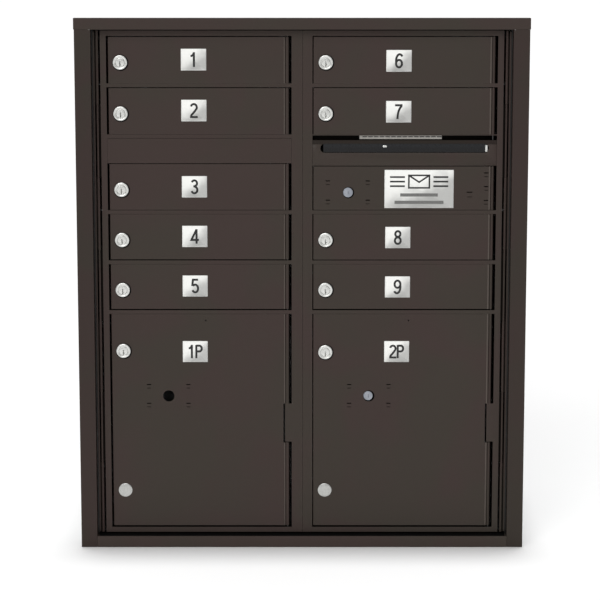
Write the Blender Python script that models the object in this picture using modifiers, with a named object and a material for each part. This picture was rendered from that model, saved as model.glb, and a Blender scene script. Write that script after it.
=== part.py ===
"""Recess-mounted cluster mailbox: two master doors of letter-box doors in one wall cabinet.

Lengths are millimetres in this script's own frame and become metres as each mesh is made.
x runs right from the middle of the unit, y runs back from the front plane of the doors, and
z runs up from the top edge of the first door row.
"""

import math

import bmesh
import bpy
from mathutils import Matrix, Vector

MM = 0.001
CLEAR = 0.3  # running clearance between neighbouring pieces
FINE_SIDES = 8  # pins and their bores
ROUND_SIDES = 12  # knuckles, plugs and studs
FACE_SIDES = 16  # lock faces and the holes they sit in
SLOT_SIDES = 24  # round ends of the mail slot

# Overall size
HEIGHT = 940.4
DEPTH = 431.8
TRIM_TOP_HALF_WIDTH = 395.3
TRIM_HALF_WIDTH = 394.3
TRIM_PROUD = 18.0
TRIM_ABOVE_ROWS = 31.2  # top edge of the trim above the first door row
BACK = DEPTH - TRIM_PROUD
BOTTOM = TRIM_ABOVE_ROWS - HEIGHT

# Trim and cabinet
TRIM_INNER_HALF_WIDTH = 366.2
TRIM_TOP_INNER = 11.5
TRIM_BOTTOM_INNER = -889.5
TRIM_SHEET = 2.0
TRIM_TAIL = 22.0  # how far the trim's inner wall reaches back beside the cabinet
CABINET_SHEET = 2.0
CABINET_HALF_WIDTH = TRIM_INNER_HALF_WIDTH - CLEAR
CABINET_TOP = TRIM_TOP_INNER - CLEAR
CABINET_BOTTOM = TRIM_BOTTOM_INNER + CLEAR
CABINET_SIDE_FRONT = -1.0
CABINET_LIP_FRONT = 18.0  # the top and bottom sheets start behind the master doors
RACK_FRONT = 30.0
RACK_BACK = BACK - 6.0
RACK_SHEET = 1.5
PARTITION_SHEET = 1.6

# Door rows, measured down from the top of the first row
MODULE = 88.9
OPENING_HEIGHT = 82.3
RAIL = MODULE - OPENING_HEIGHT
CARRIER_DROP = 4.3  # how far the carrier door starts below its row
ROW_TOPS = {1: 0.0, 2: -MODULE, 3: -2.5 * MODULE, 4: -3.5 * MODULE, 5: -4.5 * MODULE}
INSERT_TOPS = {"left": -2 * MODULE, "right": -172.9}
PARCEL_TOP = -5.5 * MODULE
COLUMN_BOTTOM = -877.0

# Master doors
MASTER_TOP = 9.2
MASTER_BOTTOM = -886.0
MASTER_OUTER = 351.0
MASTER_DEPTH = 16.0
MASTER_SHEET = 2.0
OPENING_OUTER = 340.8
OPENING_INNER = 18.2
SEAM_LEFT = 0.75
SEAM_RIGHT = 1.2
GUIDE_SETBACK = 0.8  # keeps a latch guide clear of the other door as its own door swings

# Master door hinges
PIANO_X = 356.7
PIANO_Y = 2.4
PIANO_RADIUS = 2.4
PIANO_PIN_RADIUS = 1.0
PIANO_WEB = (3.5, 4.75)  # the leaf behind the barrels
PIANO_SEGMENTS = 7
LEAF_SHEET = 2.6
LEAF_BACK = 24.0

# Small doors
DOOR_SHEET = 1.6
DOOR_FLANGE = 10.0
DOOR_GAP = 0.8
LEFT_COLUMN_LOCK_GAP = 3.4
RIGHT_COLUMN_LOCK_GAP = 1.6
KNUCKLE_INSET = 7.2  # hinge axis inside the right edge of the opening
KNUCKLE_RADIUS = 3.5
KNUCKLE_Y = 3.62  # just behind the skin's front face
ROD_RADIUS = 1.5
HINGE_TAB_TOP = -650.8
HINGE_TAB_BOTTOM = -720.1
TAB_REACH = 4.6  # how far the tab passes the hinge axis
TAB_GAP = 3.1

# Locks
LOCK_INSET = {"left": 24.3, "right": 23.1}
LOCK_DROP = 45.8
PARCEL_LOCK_DROP = {"left": 66.3, "right": 68.6}
LOCK_FACE_RADIUS = 12.6
LOCK_FACE_PROUD = 3.0
LOCK_BARREL_RADIUS = 9.3
LOCK_PLUG_RADIUS = 6.0
CAM_FRONT = 18.3
CAM_SHEET = 2.0
CAM_LENGTH = 32.0
CAM_HALF_WIDTH = 6.0

# Parcel doors and the carrier's door
PLUG_INSET = {"left": 24.9, "right": 22.4}
PLUG_Z = -808.7
KEYHOLE_INSET = {"left": 103.8, "right": 100.8}
KEYHOLE_RADIUS = 10.0
PARCEL_KEYHOLE_Z = -637.0
CARRIER_KEYHOLE_X = 80.4
CARRIER_KEYHOLE_Z = -273.3
POSTAL_CASE_HALF = (30.0, 20.0)
POSTAL_CASE_BACK = 24.0
PEEP_RADIUS = 1.3
PEEP_INSET = 170.4
PEEP_DROP = 11.9

# Outgoing mail slot
SLOT_CENTRE = (179.4, -195.3)
SLOT_HALF_LENGTH = 147.3
SLOT_RADIUS = 7.9
HOOD_FACE_TOP = -181.2
FLAP_HALF_LENGTH = 149.0
FLAP_PIVOT_Y = 4.6
FLAP_PIVOT_Z = -185.6
FLAP_LENGTH = 22.0
FLAP_SHEET = 1.6
FLAP_BEAD_RADIUS = 2.0
FLAP_PIN_RADIUS = 1.0
FLAP_PIN_REACH = 151.0
EAR_SHEET = 2.5

# Latches behind the master doors
LATCH_ROD_X = 10.0
LATCH_ROD_HALF = (4.0, 1.0)
UPPER_ROD_Y = 23.5
LOWER_ROD_Y = 26.0
UPPER_ARM_Z = -248.0
FOOT_HALF = 5.5
BAR_TOP = 4.0
BAR_BOTTOM = MASTER_BOTTOM + 3.5
TOP_GUIDE_ZS = (-10.0, 5.0)
BOLT_GUIDE_ZS = (-82.0, -68.0)
BOTTOM_GUIDE_ZS = (-882.0, -868.0)
LATCH_PIVOT_X = 28.0
LATCH_PIVOT_Z = -265.0
LATCH_CRANK = 12.0
LATCH_STUD_RADIUS = 2.5
LATCH_PIN_RADIUS = 1.6
LATCH_START = math.radians(-30.0)
LEVER_FRONT = 20.0
LEVER_SHEET = 2.0
LEVER_REACH = 32.0

BRONZE = ("bronze_powder_coat", (0.058, 0.046, 0.041), 0.42, 0.0)
GALVANISED = ("galvanised_steel", (0.42, 0.43, 0.43), 0.45, 0.9)
NICKEL = ("nickel_plate", (0.58, 0.58, 0.55), 0.28, 1.0)
STEEL = ("plain_steel", (0.05, 0.05, 0.05), 0.4, 0.9)
RUBBER = ("black_flap_plastic", (0.02, 0.02, 0.022), 0.35, 0.0)
LOCK_GREY = ("postal_lock_case", (0.30, 0.31, 0.33), 0.4, 0.8)


# ---------------------------------------------------------------- basic shapes

def world(x, y, z):
    """A point of this script's millimetre frame in world metres."""
    return Vector((x, y + TRIM_PROUD - DEPTH / 2, z - BOTTOM)) * MM


def make_material(spec):
    name, colour, roughness, metallic = spec
    found = bpy.data.materials.get(name)
    if found:
        return found
    material = bpy.data.materials.new(name)
    material.use_nodes = True
    shader = material.node_tree.nodes["Principled BSDF"]
    shader.inputs["Base Color"].default_value = (*colour, 1.0)
    shader.inputs["Roughness"].default_value = roughness
    shader.inputs["Metallic"].default_value = metallic
    material.diffuse_color = (*colour, 1.0)
    return material


def new_object(name, mesh_builder):
    """A linked object whose world-space mesh is filled by mesh_builder(bm)."""
    bm = bmesh.new()
    mesh_builder(bm)
    mesh = bpy.data.meshes.new(name)
    bm.to_mesh(mesh)
    bm.free()
    made = bpy.data.objects.new(name, mesh)
    PARTS.objects.link(made)
    return made


def box(name, xs, ys, zs):
    """A box between two x, two y and two z values."""
    low = world(min(xs), min(ys), min(zs))
    high = world(max(xs), max(ys), max(zs))

    def fill(bm):
        bmesh.ops.create_cube(bm, size=2.0)
        for vert in bm.verts:
            vert.co = [high[i] if vert.co[i] > 0 else low[i] for i in range(3)]

    return new_object(name, fill)


def cylinder(name, axis, centre, radius, span, sides):
    """A cylinder along axis 'x', 'y' or 'z'; centre gives the other two coordinates in order."""
    start, end = span
    middle = (start + end) / 2
    if axis == "x":
        position = world(middle, *centre)
        turn = Matrix.Rotation(math.radians(90), 4, "Y")
    elif axis == "y":
        position = world(centre[0], middle, centre[1])
        turn = Matrix.Rotation(math.radians(-90), 4, "X")
    else:
        position = world(*centre, middle)
        turn = Matrix.Identity(4)

    def fill(bm):
        bmesh.ops.create_cone(
            bm, cap_ends=True, segments=sides, radius1=radius * MM, radius2=radius * MM,
            depth=(end - start) * MM, matrix=Matrix.Translation(position) @ turn,
        )

    return new_object(name, fill)


def turned(name, spot, profile, sides):
    """A solid of revolution about a y line through spot=(x, z).

    profile lists (radius, y) points that run from the back to the front on the outer side.
    A profile that starts and ends off the axis closes on itself and leaves a bore.
    """
    bm = bmesh.new()
    points = [bm.verts.new((radius * MM, 0.0, y * MM)) for radius, y in profile]
    for first, second in zip(points, points[1:]):
        bm.edges.new((first, second))
    if profile[0][0] > 0:
        bm.edges.new((points[-1], points[0]))
    mesh = bpy.data.meshes.new(name)
    bm.to_mesh(mesh)
    bm.free()
    made = bpy.data.objects.new(name, mesh)
    PARTS.objects.link(made)
    screw = made.modifiers.new("turn", "SCREW")
    screw.axis = "Z"
    screw.steps = sides
    screw.render_steps = sides
    screw.use_merge_vertices = True
    screw.merge_threshold = 0.00001
    bpy.context.view_layer.update()
    evaluated = made.evaluated_get(bpy.context.evaluated_depsgraph_get())
    result = bpy.data.meshes.new_from_object(evaluated)
    made.modifiers.clear()
    made.data = result
    upright = Matrix.Rotation(math.radians(-90), 4, "X")
    made.data.transform(Matrix.Translation(world(spot[0], 0.0, spot[1])) @ upright)
    return made


def boolean(target, tools, operation):
    """Applies EXACT Booleans of the tools to target, and removes the tools."""
    for tool in tools:
        CUTTERS.objects.link(tool)
        PARTS.objects.unlink(tool)
        tool.hide_render = True
        tool.display_type = "WIRE"
        modifier = target.modifiers.new(tool.name, "BOOLEAN")
        modifier.operation = operation
        modifier.solver = "EXACT"
        modifier.object = tool
    bpy.context.view_layer.update()
    evaluated = target.evaluated_get(bpy.context.evaluated_depsgraph_get())
    result = bpy.data.meshes.new_from_object(evaluated)
    target.modifiers.clear()
    target.data = result
    for tool in tools:
        bpy.data.objects.remove(tool)
    return target


def cut(target, *tools):
    return boolean(target, tools, "DIFFERENCE")


def join(target, *tools):
    return boolean(target, tools, "UNION")


def finish(part, material, pivot=None):
    """Gives a part its own material and soft shading, and parents it to its pivot."""
    part.data.materials.clear()
    part.data.materials.append(make_material(material))
    part.data.shade_smooth()
    part.data.set_sharp_from_angle(angle=math.radians(35))
    if pivot is not None:
        part.parent = pivot
        part.matrix_parent_inverse = pivot.matrix_world.inverted()
    return part


def make_pivot(name, x, y, z, parent=None):
    """An empty on a joint's axis, which the pieces of that moving body hang from."""
    pivot = bpy.data.objects.new(name, None)
    pivot.empty_display_size = 0.02
    pivot.location = world(x, y, z)
    PARTS.objects.link(pivot)
    bpy.context.view_layer.update()
    if parent is not None:
        pivot.parent = parent
        pivot.matrix_parent_inverse = parent.matrix_world.inverted()
        bpy.context.view_layer.update()
    return pivot


# ---------------------------------------------------------------- cabinet and trim

def cabinet_shell():
    half = CABINET_HALF_WIDTH
    inner = half - CABINET_SHEET
    shell = box("cabinet_shell", (-half, half), (CABINET_SIDE_FRONT, BACK),
                (CABINET_BOTTOM, CABINET_TOP))
    hollow = box("hollow", (-inner, inner), (CABINET_SIDE_FRONT - 5, BACK + 5),
                 (CABINET_BOTTOM + CABINET_SHEET, CABINET_TOP - CABINET_SHEET))
    door_bay = box("door_bay", (-inner, inner), (CABINET_SIDE_FRONT - 5, CABINET_LIP_FRONT),
                   (CABINET_BOTTOM - 5, CABINET_TOP + 5))
    cut(shell, hollow)
    cut(shell, door_bay)
    strikes = ((-LATCH_ROD_X, UPPER_ROD_Y, CABINET_TOP), (LATCH_ROD_X, UPPER_ROD_Y, CABINET_TOP),
               (LATCH_ROD_X, LOWER_ROD_Y, CABINET_BOTTOM))
    for x, y, z in strikes:
        cut(shell, bar_slot("strike", x, y, (z - 6.0, z + 6.0), 1.0))
    cut(shell, *trim_seats())
    finish(shell, GALVANISED)


def trim_seats():
    """Cutters for the shallow steps that the trim's tails lie in."""
    half = CABINET_HALF_WIDTH
    ys = (CABINET_SIDE_FRONT - 5, TRIM_TAIL + CLEAR)
    xs = (-half - 5, half + 5)
    zs = (CABINET_BOTTOM - 5, CABINET_TOP + 5)
    sides = [box("seat", (side * (half - CLEAR), side * (half + 5)), ys, zs) for side in (-1, 1)]
    return sides + [box("seat", xs, ys, (CABINET_TOP - CLEAR, zs[1])),
                    box("seat", xs, ys, (zs[0], CABINET_BOTTOM + CLEAR))]


def back_panel():
    half = CABINET_HALF_WIDTH - CABINET_SHEET - CLEAR
    zs = (CABINET_BOTTOM + CABINET_SHEET + CLEAR, CABINET_TOP - CABINET_SHEET - CLEAR)
    finish(box("back_panel", (-half, half), (BACK - 2.0, BACK), zs), GALVANISED)


def center_partition():
    half = PARTITION_SHEET / 2
    zs = (CABINET_BOTTOM + CABINET_SHEET + CLEAR, CABINET_TOP - CABINET_SHEET - CLEAR)
    finish(box("center_partition", (-half, half), (RACK_FRONT, BACK - 2.0 - CLEAR), zs),
           GALVANISED)


def shelf_rack(name, side, shelf_tops):
    """A side liner with the compartment floors of one column standing off it."""
    wall = CABINET_HALF_WIDTH - CABINET_SHEET - CLEAR
    zs = (CABINET_BOTTOM + CABINET_SHEET + CLEAR, CABINET_TOP - CABINET_SHEET - CLEAR)
    ys = (RACK_FRONT, RACK_BACK)
    rack = box(name, (side * wall, side * (wall - RACK_SHEET)), ys, zs)
    near = PARTITION_SHEET / 2 + CLEAR
    overlap = RACK_SHEET / 2
    shelves = [
        box("shelf", (side * near, side * (wall - overlap)), ys, (top, top - RACK_SHEET))
        for top in shelf_tops
    ]
    join(rack, *shelves)
    finish(rack, GALVANISED)


def trim_bar(name, xs, zs, channel_xs, channel_zs, rear_xs, rear_zs):
    """A trim bar cut from a block: a channel behind its face, and a shorter outer wall."""
    bar = box(name, xs, (-TRIM_PROUD, TRIM_TAIL), zs)
    cut(bar, box("channel", channel_xs, (-TRIM_PROUD + TRIM_SHEET, TRIM_TAIL + 5), channel_zs))
    cut(bar, box("rear", rear_xs, (0.0, TRIM_TAIL + 5), rear_zs))
    finish(bar, BRONZE)


def trims():
    sheet = TRIM_SHEET
    top = TRIM_ABOVE_ROWS
    half = TRIM_TOP_HALF_WIDTH
    beyond = (-half - 5, half + 5)
    trim_bar("trim_top", (-half, half), (TRIM_TOP_INNER, top), beyond,
             (TRIM_TOP_INNER + sheet, top - sheet), beyond, (TRIM_TOP_INNER + sheet, top + 5))
    side_zs = (BOTTOM, TRIM_TOP_INNER - CLEAR)
    past = (side_zs[0] - 5, side_zs[1] + 5)
    for name, side in (("trim_left", -1), ("trim_right", 1)):
        inner = side * TRIM_INNER_HALF_WIDTH
        outer = side * TRIM_HALF_WIDTH
        wall = inner + side * sheet
        trim_bar(name, (inner, outer), side_zs, (wall, outer - side * sheet), past,
                 (wall, outer + side * 5), past)
    half = TRIM_INNER_HALF_WIDTH - CLEAR
    beyond = (-half - 5, half + 5)
    trim_bar("trim_bottom", (-half, half), (BOTTOM, TRIM_BOTTOM_INNER), beyond,
             (BOTTOM + sheet, TRIM_BOTTOM_INNER - sheet), beyond,
             (BOTTOM - 5, TRIM_BOTTOM_INNER - sheet))


# ---------------------------------------------------------------- master doors

def piano_spans():
    """The z spans of the hinge barrels from the top; even ones stay with the cabinet."""
    length = (MASTER_TOP - MASTER_BOTTOM) / PIANO_SEGMENTS
    for index in range(PIANO_SEGMENTS):
        top = MASTER_TOP - index * length
        yield index % 2 == 0, (top - length + CLEAR / 2, top - CLEAR / 2)


def cabinet_hinge(name, side):
    """The fixed leaf of a master door hinge with its barrels and its full-length pin."""
    outer = CABINET_HALF_WIDTH - CABINET_SHEET - CLEAR
    centre = (side * PIANO_X, PIANO_Y)
    zs = (MASTER_BOTTOM + 1.0, MASTER_TOP - 2.0)
    leaf = box(name, (side * outer, side * (outer - LEAF_SHEET)), (1.0, LEAF_BACK), zs)
    pin_span = (MASTER_BOTTOM + 1, MASTER_TOP - 1)
    pieces = [cylinder("pin", "z", centre, PIANO_PIN_RADIUS, pin_span, FINE_SIDES)]
    for fixed, span in piano_spans():
        if fixed:
            pieces.append(cylinder("barrel", "z", centre, PIANO_RADIUS, span, ROUND_SIDES))
            pieces.append(box("web", (side * PIANO_X, side * (outer - 0.4)), PIANO_WEB, span))
    join(leaf, *pieces)
    finish(leaf, BRONZE)


def opening_right(column):
    return -OPENING_INNER if column == "left" else OPENING_OUTER


def opening_left(column):
    return -OPENING_OUTER if column == "left" else OPENING_INNER


def row_span(column, row):
    """The top and bottom z of one opening."""
    top = ROW_TOPS[row]
    drop = CARRIER_DROP if (column, row) == ("right", 3) else 0.0
    return top - drop, top - OPENING_HEIGHT


def knuckle_x(column):
    return opening_right(column) - KNUCKLE_INSET


def meeting_stile(column):
    """The x of a master door's meeting edge, and of the openings' edge beside it."""
    return (SEAM_LEFT, -OPENING_INNER) if column == "left" else (SEAM_RIGHT, OPENING_INNER)


def master_frame(name, column):
    """A punched sheet with a folded channel round it and rails between the openings."""
    side = -1 if column == "left" else 1
    seam, stile_end = meeting_stile(column)
    frame = box(name, (seam, side * MASTER_OUTER), (0.0, MASTER_DEPTH), (MASTER_BOTTOM, MASTER_TOP))
    span = (opening_left(column), opening_right(column))
    through = (-5.0, MASTER_DEPTH + 5.0)
    openings = [box("row", span, through, row_span(column, row)) for row in ROW_TOPS]
    openings.append(box("parcel", span, through, (PARCEL_TOP, COLUMN_BOTTOM)))
    insert_top = INSERT_TOPS[column]
    openings.append(box("insert", span, through, (insert_top, ROW_TOPS[3] + RAIL)))
    cut(frame, *openings)
    seat_zs = (insert_top, row_span(column, 3)[0] - 1.0)
    cut(frame, box("insert_seat", span, (-5.0, KNUCKLE_RADIUS * 2), seat_zs))
    sheet = MASTER_SHEET
    channel_ys = (sheet, MASTER_DEPTH + 5)
    channel_zs = (MASTER_BOTTOM + sheet, MASTER_TOP - sheet)
    inner_xs = (seam + side * sheet, stile_end - side * sheet)
    outer_xs = (side * (OPENING_OUTER + sheet), side * (MASTER_OUTER - sheet))
    return cut(frame, box("channel", inner_xs, channel_ys, channel_zs),
               box("channel", outer_xs, channel_ys, channel_zs))


def master_knuckles(frame, side):
    """Rolls the moving hinge barrels onto the outer edge of a master door."""
    centre = (side * PIANO_X, PIANO_Y)
    for fixed, span in piano_spans():
        if fixed:
            continue
        barrel = cylinder("barrel", "z", centre, PIANO_RADIUS, span, ROUND_SIDES)
        join(barrel, box("web", (side * PIANO_X, side * (MASTER_OUTER - 1.0)), PIANO_WEB, span))
        bore = (span[0] - 5, span[1] + 5)
        cut(barrel, cylinder("bore", "z", centre, PIANO_PIN_RADIUS + CLEAR, bore, FINE_SIDES))
        join(frame, barrel)


def hinge_tab(frame, column):
    """The mid-height bracket that steadies the rod behind the tall parcel door."""
    hinge = knuckle_x(column)
    zs = (HINGE_TAB_BOTTOM, HINGE_TAB_TOP)
    depth = 2 * KNUCKLE_RADIUS
    join(frame, box("tab", (hinge - TAB_REACH, opening_right(column) + 1.0), (0.0, depth), zs))


def rod_holes(frame, column):
    centre = (knuckle_x(column), KNUCKLE_Y)
    span = (COLUMN_BOTTOM - 6.0, 6.0)
    cut(frame, cylinder("rod_hole", "z", centre, ROD_RADIUS + CLEAR, span, FINE_SIDES))


def bar_slot(name, x, y, zs, margin):
    """A cutter a little larger than a latch bar."""
    half_x, half_y = LATCH_ROD_HALF
    return box(name, (x - half_x - margin, x + half_x + margin),
               (y - half_y - margin, y + half_y + margin), zs)


def latch_guide(column, y, zs):
    """A slotted block across the back of a meeting stile that a latch bar slides in."""
    seam, stile_end = meeting_stile(column)
    side = -1 if column == "left" else 1
    block = box("guide", (seam + side * GUIDE_SETBACK, stile_end - side * 0.4),
                (MASTER_DEPTH - 1.0, y + LATCH_ROD_HALF[1] + 2.0), zs)
    return cut(block, bar_slot("slot", side * LATCH_ROD_X, y, (zs[0] - 5, zs[1] + 5), CLEAR))


def left_master_door(pivot):
    frame = master_frame("left_master_door", "left")
    hinge_tab(frame, "left")
    rod_holes(frame, "left")
    master_knuckles(frame, -1)
    join(frame, latch_guide("left", UPPER_ROD_Y, TOP_GUIDE_ZS),
         latch_guide("left", UPPER_ROD_Y, BOLT_GUIDE_ZS))
    finish(frame, BRONZE, pivot)


def right_master_door(pivot):
    frame = master_frame("right_master_door", "right")
    hinge_tab(frame, "right")
    rod_holes(frame, "right")
    master_knuckles(frame, 1)
    join(frame, latch_guide("right", UPPER_ROD_Y, TOP_GUIDE_ZS),
         latch_guide("right", LOWER_ROD_Y, BOTTOM_GUIDE_ZS))
    bracket = box("bracket", (3.0, 44.0), (MASTER_DEPTH - 1.0, MASTER_DEPTH + 2.0), (-281.0, -249.0))
    stud_ys = (MASTER_DEPTH + 1.0, LEVER_FRONT + LEVER_SHEET + 0.2)
    stud = cylinder("stud", "y", (LATCH_PIVOT_X, LATCH_PIVOT_Z), LATCH_STUD_RADIUS, stud_ys,
                    ROUND_SIDES)
    join(frame, bracket, stud)
    finish(frame, BRONZE, pivot)


def column_rod(name, column, pivot):
    centre = (knuckle_x(column), KNUCKLE_Y)
    rod = cylinder(name, "z", centre, ROD_RADIUS, (COLUMN_BOTTOM - 5.0, 5.0), FINE_SIDES)
    finish(rod, STEEL, pivot)


# ---------------------------------------------------------------- small doors

def door_pan(name, column, top, height):
    """A sheet door with back-turned edges and a rolled knuckle along its right edge."""
    left = opening_left(column)
    left += LEFT_COLUMN_LOCK_GAP if column == "left" else RIGHT_COLUMN_LOCK_GAP
    hinge = knuckle_x(column)
    zs = (top - height + DOOR_GAP, top - DOOR_GAP)
    end = hinge - 1.0
    pan = box(name, (left, end), (0.0, DOOR_FLANGE), zs)
    behind = (DOOR_SHEET, DOOR_FLANGE + 5)
    cut(pan, box("pocket", (left + DOOR_SHEET, end + 5), behind,
                 (zs[0] + DOOR_SHEET, zs[1] - DOOR_SHEET)))
    cut(pan, box("hinge_end", (hinge - 14.0, end + 5), behind, (zs[0] - 5, zs[1] + 5)))
    join(pan, cylinder("knuckle", "z", (hinge, KNUCKLE_Y), KNUCKLE_RADIUS, zs, ROUND_SIDES))
    bore = cylinder("bore", "z", (hinge, KNUCKLE_Y), ROD_RADIUS + CLEAR,
                    (zs[0] - 5, zs[1] + 5), FINE_SIDES)
    return cut(pan, bore)


def round_hole(part, x, z, radius, sides=FACE_SIDES):
    cut(part, cylinder("hole", "y", (x, z), radius, (-5.0, DOOR_SHEET + 5.0), sides))


def make_lock(suffix, column, z, door_pivot):
    """A cam lock: threaded body with a round face, and a turning plug with its cam."""
    x = opening_left(column) + LOCK_INSET[column]
    spot = (x, z)
    face = -LOCK_FACE_PROUD
    bore = LOCK_PLUG_RADIUS + CLEAR
    body_profile = [
        (bore, CAM_FRONT - 1.0),
        (LOCK_BARREL_RADIUS, CAM_FRONT - 1.0),
        (LOCK_BARREL_RADIUS, -CLEAR),
        (LOCK_FACE_RADIUS, -CLEAR),
        (LOCK_FACE_RADIUS, face + 0.9),
        (LOCK_FACE_RADIUS - 1.1, face),
        (bore, face),
    ]
    body = turned("lock_body_" + suffix, spot, body_profile, FACE_SIDES)
    nut_ys = (DOOR_SHEET + CLEAR, DOOR_SHEET + 4.5)
    nut = cylinder("nut", "y", spot, 12.5, nut_ys, 6)
    cut(nut, cylinder("nut_bore", "y", spot, bore + 1.5, (-5.0, 20.0), FACE_SIDES))
    join(body, nut)
    finish(body, NICKEL, door_pivot)
    turn = make_pivot("pivot_lock_" + suffix, x, 0.0, z, door_pivot)
    plug_profile = [
        (0.0, CAM_FRONT + CAM_SHEET + 1.0),
        (4.0, CAM_FRONT + CAM_SHEET + 1.0),
        (4.0, CAM_FRONT + CAM_SHEET),
        (8.0, CAM_FRONT + CAM_SHEET),
        (8.0, CAM_FRONT),
        (LOCK_PLUG_RADIUS, CAM_FRONT),
        (LOCK_PLUG_RADIUS, face + 0.2),
        (LOCK_PLUG_RADIUS - 0.4, face - 0.2),
        (0.0, face - 0.2),
    ]
    plug = turned("lock_cam_" + suffix, spot, plug_profile, ROUND_SIDES)
    cam_ys = (CAM_FRONT + 0.2, CAM_FRONT + CAM_SHEET - 0.2)
    cam = box("cam", (x - CAM_HALF_WIDTH, x + CAM_HALF_WIDTH), cam_ys, (z, z - CAM_LENGTH))
    join(plug, cam)
    cut(plug, box("keyway", (x - 0.9, x + 0.9), (-10.0, 0.5), (z - 4.2, z + 3.4)))
    finish(plug, NICKEL, turn)


def lock_hole(part, x, z):
    round_hole(part, x, z, LOCK_BARREL_RADIUS + CLEAR)


def tenant_door(number, column, row, master_pivot):
    top = ROW_TOPS[row]
    suffix = str(number)
    middle = top - OPENING_HEIGHT / 2
    pivot = make_pivot("pivot_tenant_" + suffix, knuckle_x(column), KNUCKLE_Y, middle,
                       master_pivot)
    door = door_pan("tenant_door_" + suffix, column, top, OPENING_HEIGHT)
    lock_z = top - LOCK_DROP
    lock_hole(door, opening_left(column) + LOCK_INSET[column], lock_z)
    finish(door, BRONZE, pivot)
    make_lock(suffix, column, lock_z, pivot)


def postal_lock(name, x, z, pivot):
    """The carrier's lock behind a keyhole: a case with a round face at the hole."""
    half_x, half_z = POSTAL_CASE_HALF
    case = box(name, (x - half_x, x + half_x), (DOOR_SHEET + 3.0, POSTAL_CASE_BACK),
               (z - half_z, z + half_z))
    boss = cylinder("boss", "y", (x - 0.8, z), KEYHOLE_RADIUS - 1.4,
                    (DOOR_SHEET + CLEAR, DOOR_SHEET + 4.0), FACE_SIDES)
    join(case, boss)
    finish(case, LOCK_GREY, pivot)


def carrier_door(master_pivot):
    top, bottom = row_span("right", 3)
    pivot = make_pivot("pivot_carrier", knuckle_x("right"), KNUCKLE_Y, (top + bottom) / 2,
                       master_pivot)
    door = door_pan("carrier_door", "right", top, top - bottom)
    round_hole(door, CARRIER_KEYHOLE_X, CARRIER_KEYHOLE_Z, KEYHOLE_RADIUS)
    finish(door, BRONZE, pivot)
    postal_lock("postal_lock_carrier", CARRIER_KEYHOLE_X, CARRIER_KEYHOLE_Z, pivot)


def hole_plug(name, x, z, pivot):
    profile = [
        (0.0, 5.0),
        (LOCK_BARREL_RADIUS, 5.0),
        (LOCK_BARREL_RADIUS, -CLEAR),
        (12.2, -CLEAR),
        (12.2, -1.1),
        (11.4, -1.8),
        (0.0, -1.8),
    ]
    finish(turned(name, (x, z), profile, FACE_SIDES), NICKEL, pivot)


def parcel_door(number, column, master_pivot):
    suffix = "p" + str(number)
    height = PARCEL_TOP - COLUMN_BOTTOM
    middle = (PARCEL_TOP + COLUMN_BOTTOM) / 2
    hinge = knuckle_x(column)
    left = opening_left(column)
    pivot = make_pivot("pivot_parcel_" + suffix, hinge, KNUCKLE_Y, middle, master_pivot)
    door = door_pan("parcel_door_" + suffix, column, PARCEL_TOP, height)
    notch = box("notch", (hinge - TAB_REACH - TAB_GAP, hinge + 6.0), (-5.0, 12.0),
                (HINGE_TAB_BOTTOM - DOOR_GAP, HINGE_TAB_TOP + DOOR_GAP))
    cut(door, notch)
    lock_z = PARCEL_TOP - PARCEL_LOCK_DROP[column]
    plug_x = left + PLUG_INSET[column]
    keyhole_x = left + KEYHOLE_INSET[column]
    lock_hole(door, left + LOCK_INSET[column], lock_z)
    lock_hole(door, plug_x, PLUG_Z)
    round_hole(door, keyhole_x, PARCEL_KEYHOLE_Z, KEYHOLE_RADIUS)
    round_hole(door, left + PEEP_INSET, PARCEL_TOP - PEEP_DROP, PEEP_RADIUS, FINE_SIDES)
    finish(door, BRONZE, pivot)
    make_lock(suffix, column, lock_z, pivot)
    hole_plug("hole_plug_" + suffix, plug_x, PLUG_Z, pivot)
    if column == "right":
        postal_lock("postal_lock_" + suffix, keyhole_x, PARCEL_KEYHOLE_Z, pivot)


# ---------------------------------------------------------------- inserts between the rows

def insert_edges(column):
    return opening_left(column) + CLEAR, opening_right(column) - CLEAR


def filler_panel(pivot):
    """The blank panel that fills the half row beside the mail slot."""
    xs = insert_edges("left")
    zs = (ROW_TOPS[3] + 0.5, INSERT_TOPS["left"] - 0.5)
    panel = box("filler_panel", xs, (0.0, DOOR_SHEET), zs)
    flange_xs = (xs[0], xs[1] - 16.0)
    upper = box("upper", flange_xs, (0.0, MASTER_DEPTH), (zs[1], zs[1] - DOOR_SHEET))
    lower_z = ROW_TOPS[3] + RAIL + 0.5
    lower = box("lower", flange_xs, (0.0, MASTER_DEPTH), (lower_z, lower_z + DOOR_SHEET))
    join(panel, upper, lower)
    finish(panel, BRONZE, pivot)


def stadium(name, ys):
    """A cutter for the mail slot: a bar with round ends."""
    x, z = SLOT_CENTRE
    reach = SLOT_HALF_LENGTH - SLOT_RADIUS
    bar = box(name, (x - reach, x + reach), ys, (z - SLOT_RADIUS, z + SLOT_RADIUS))
    ends = [cylinder("end", "y", (x + side * reach, z), SLOT_RADIUS, ys, SLOT_SIDES)
            for side in (-1, 1)]
    return join(bar, *ends)


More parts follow.
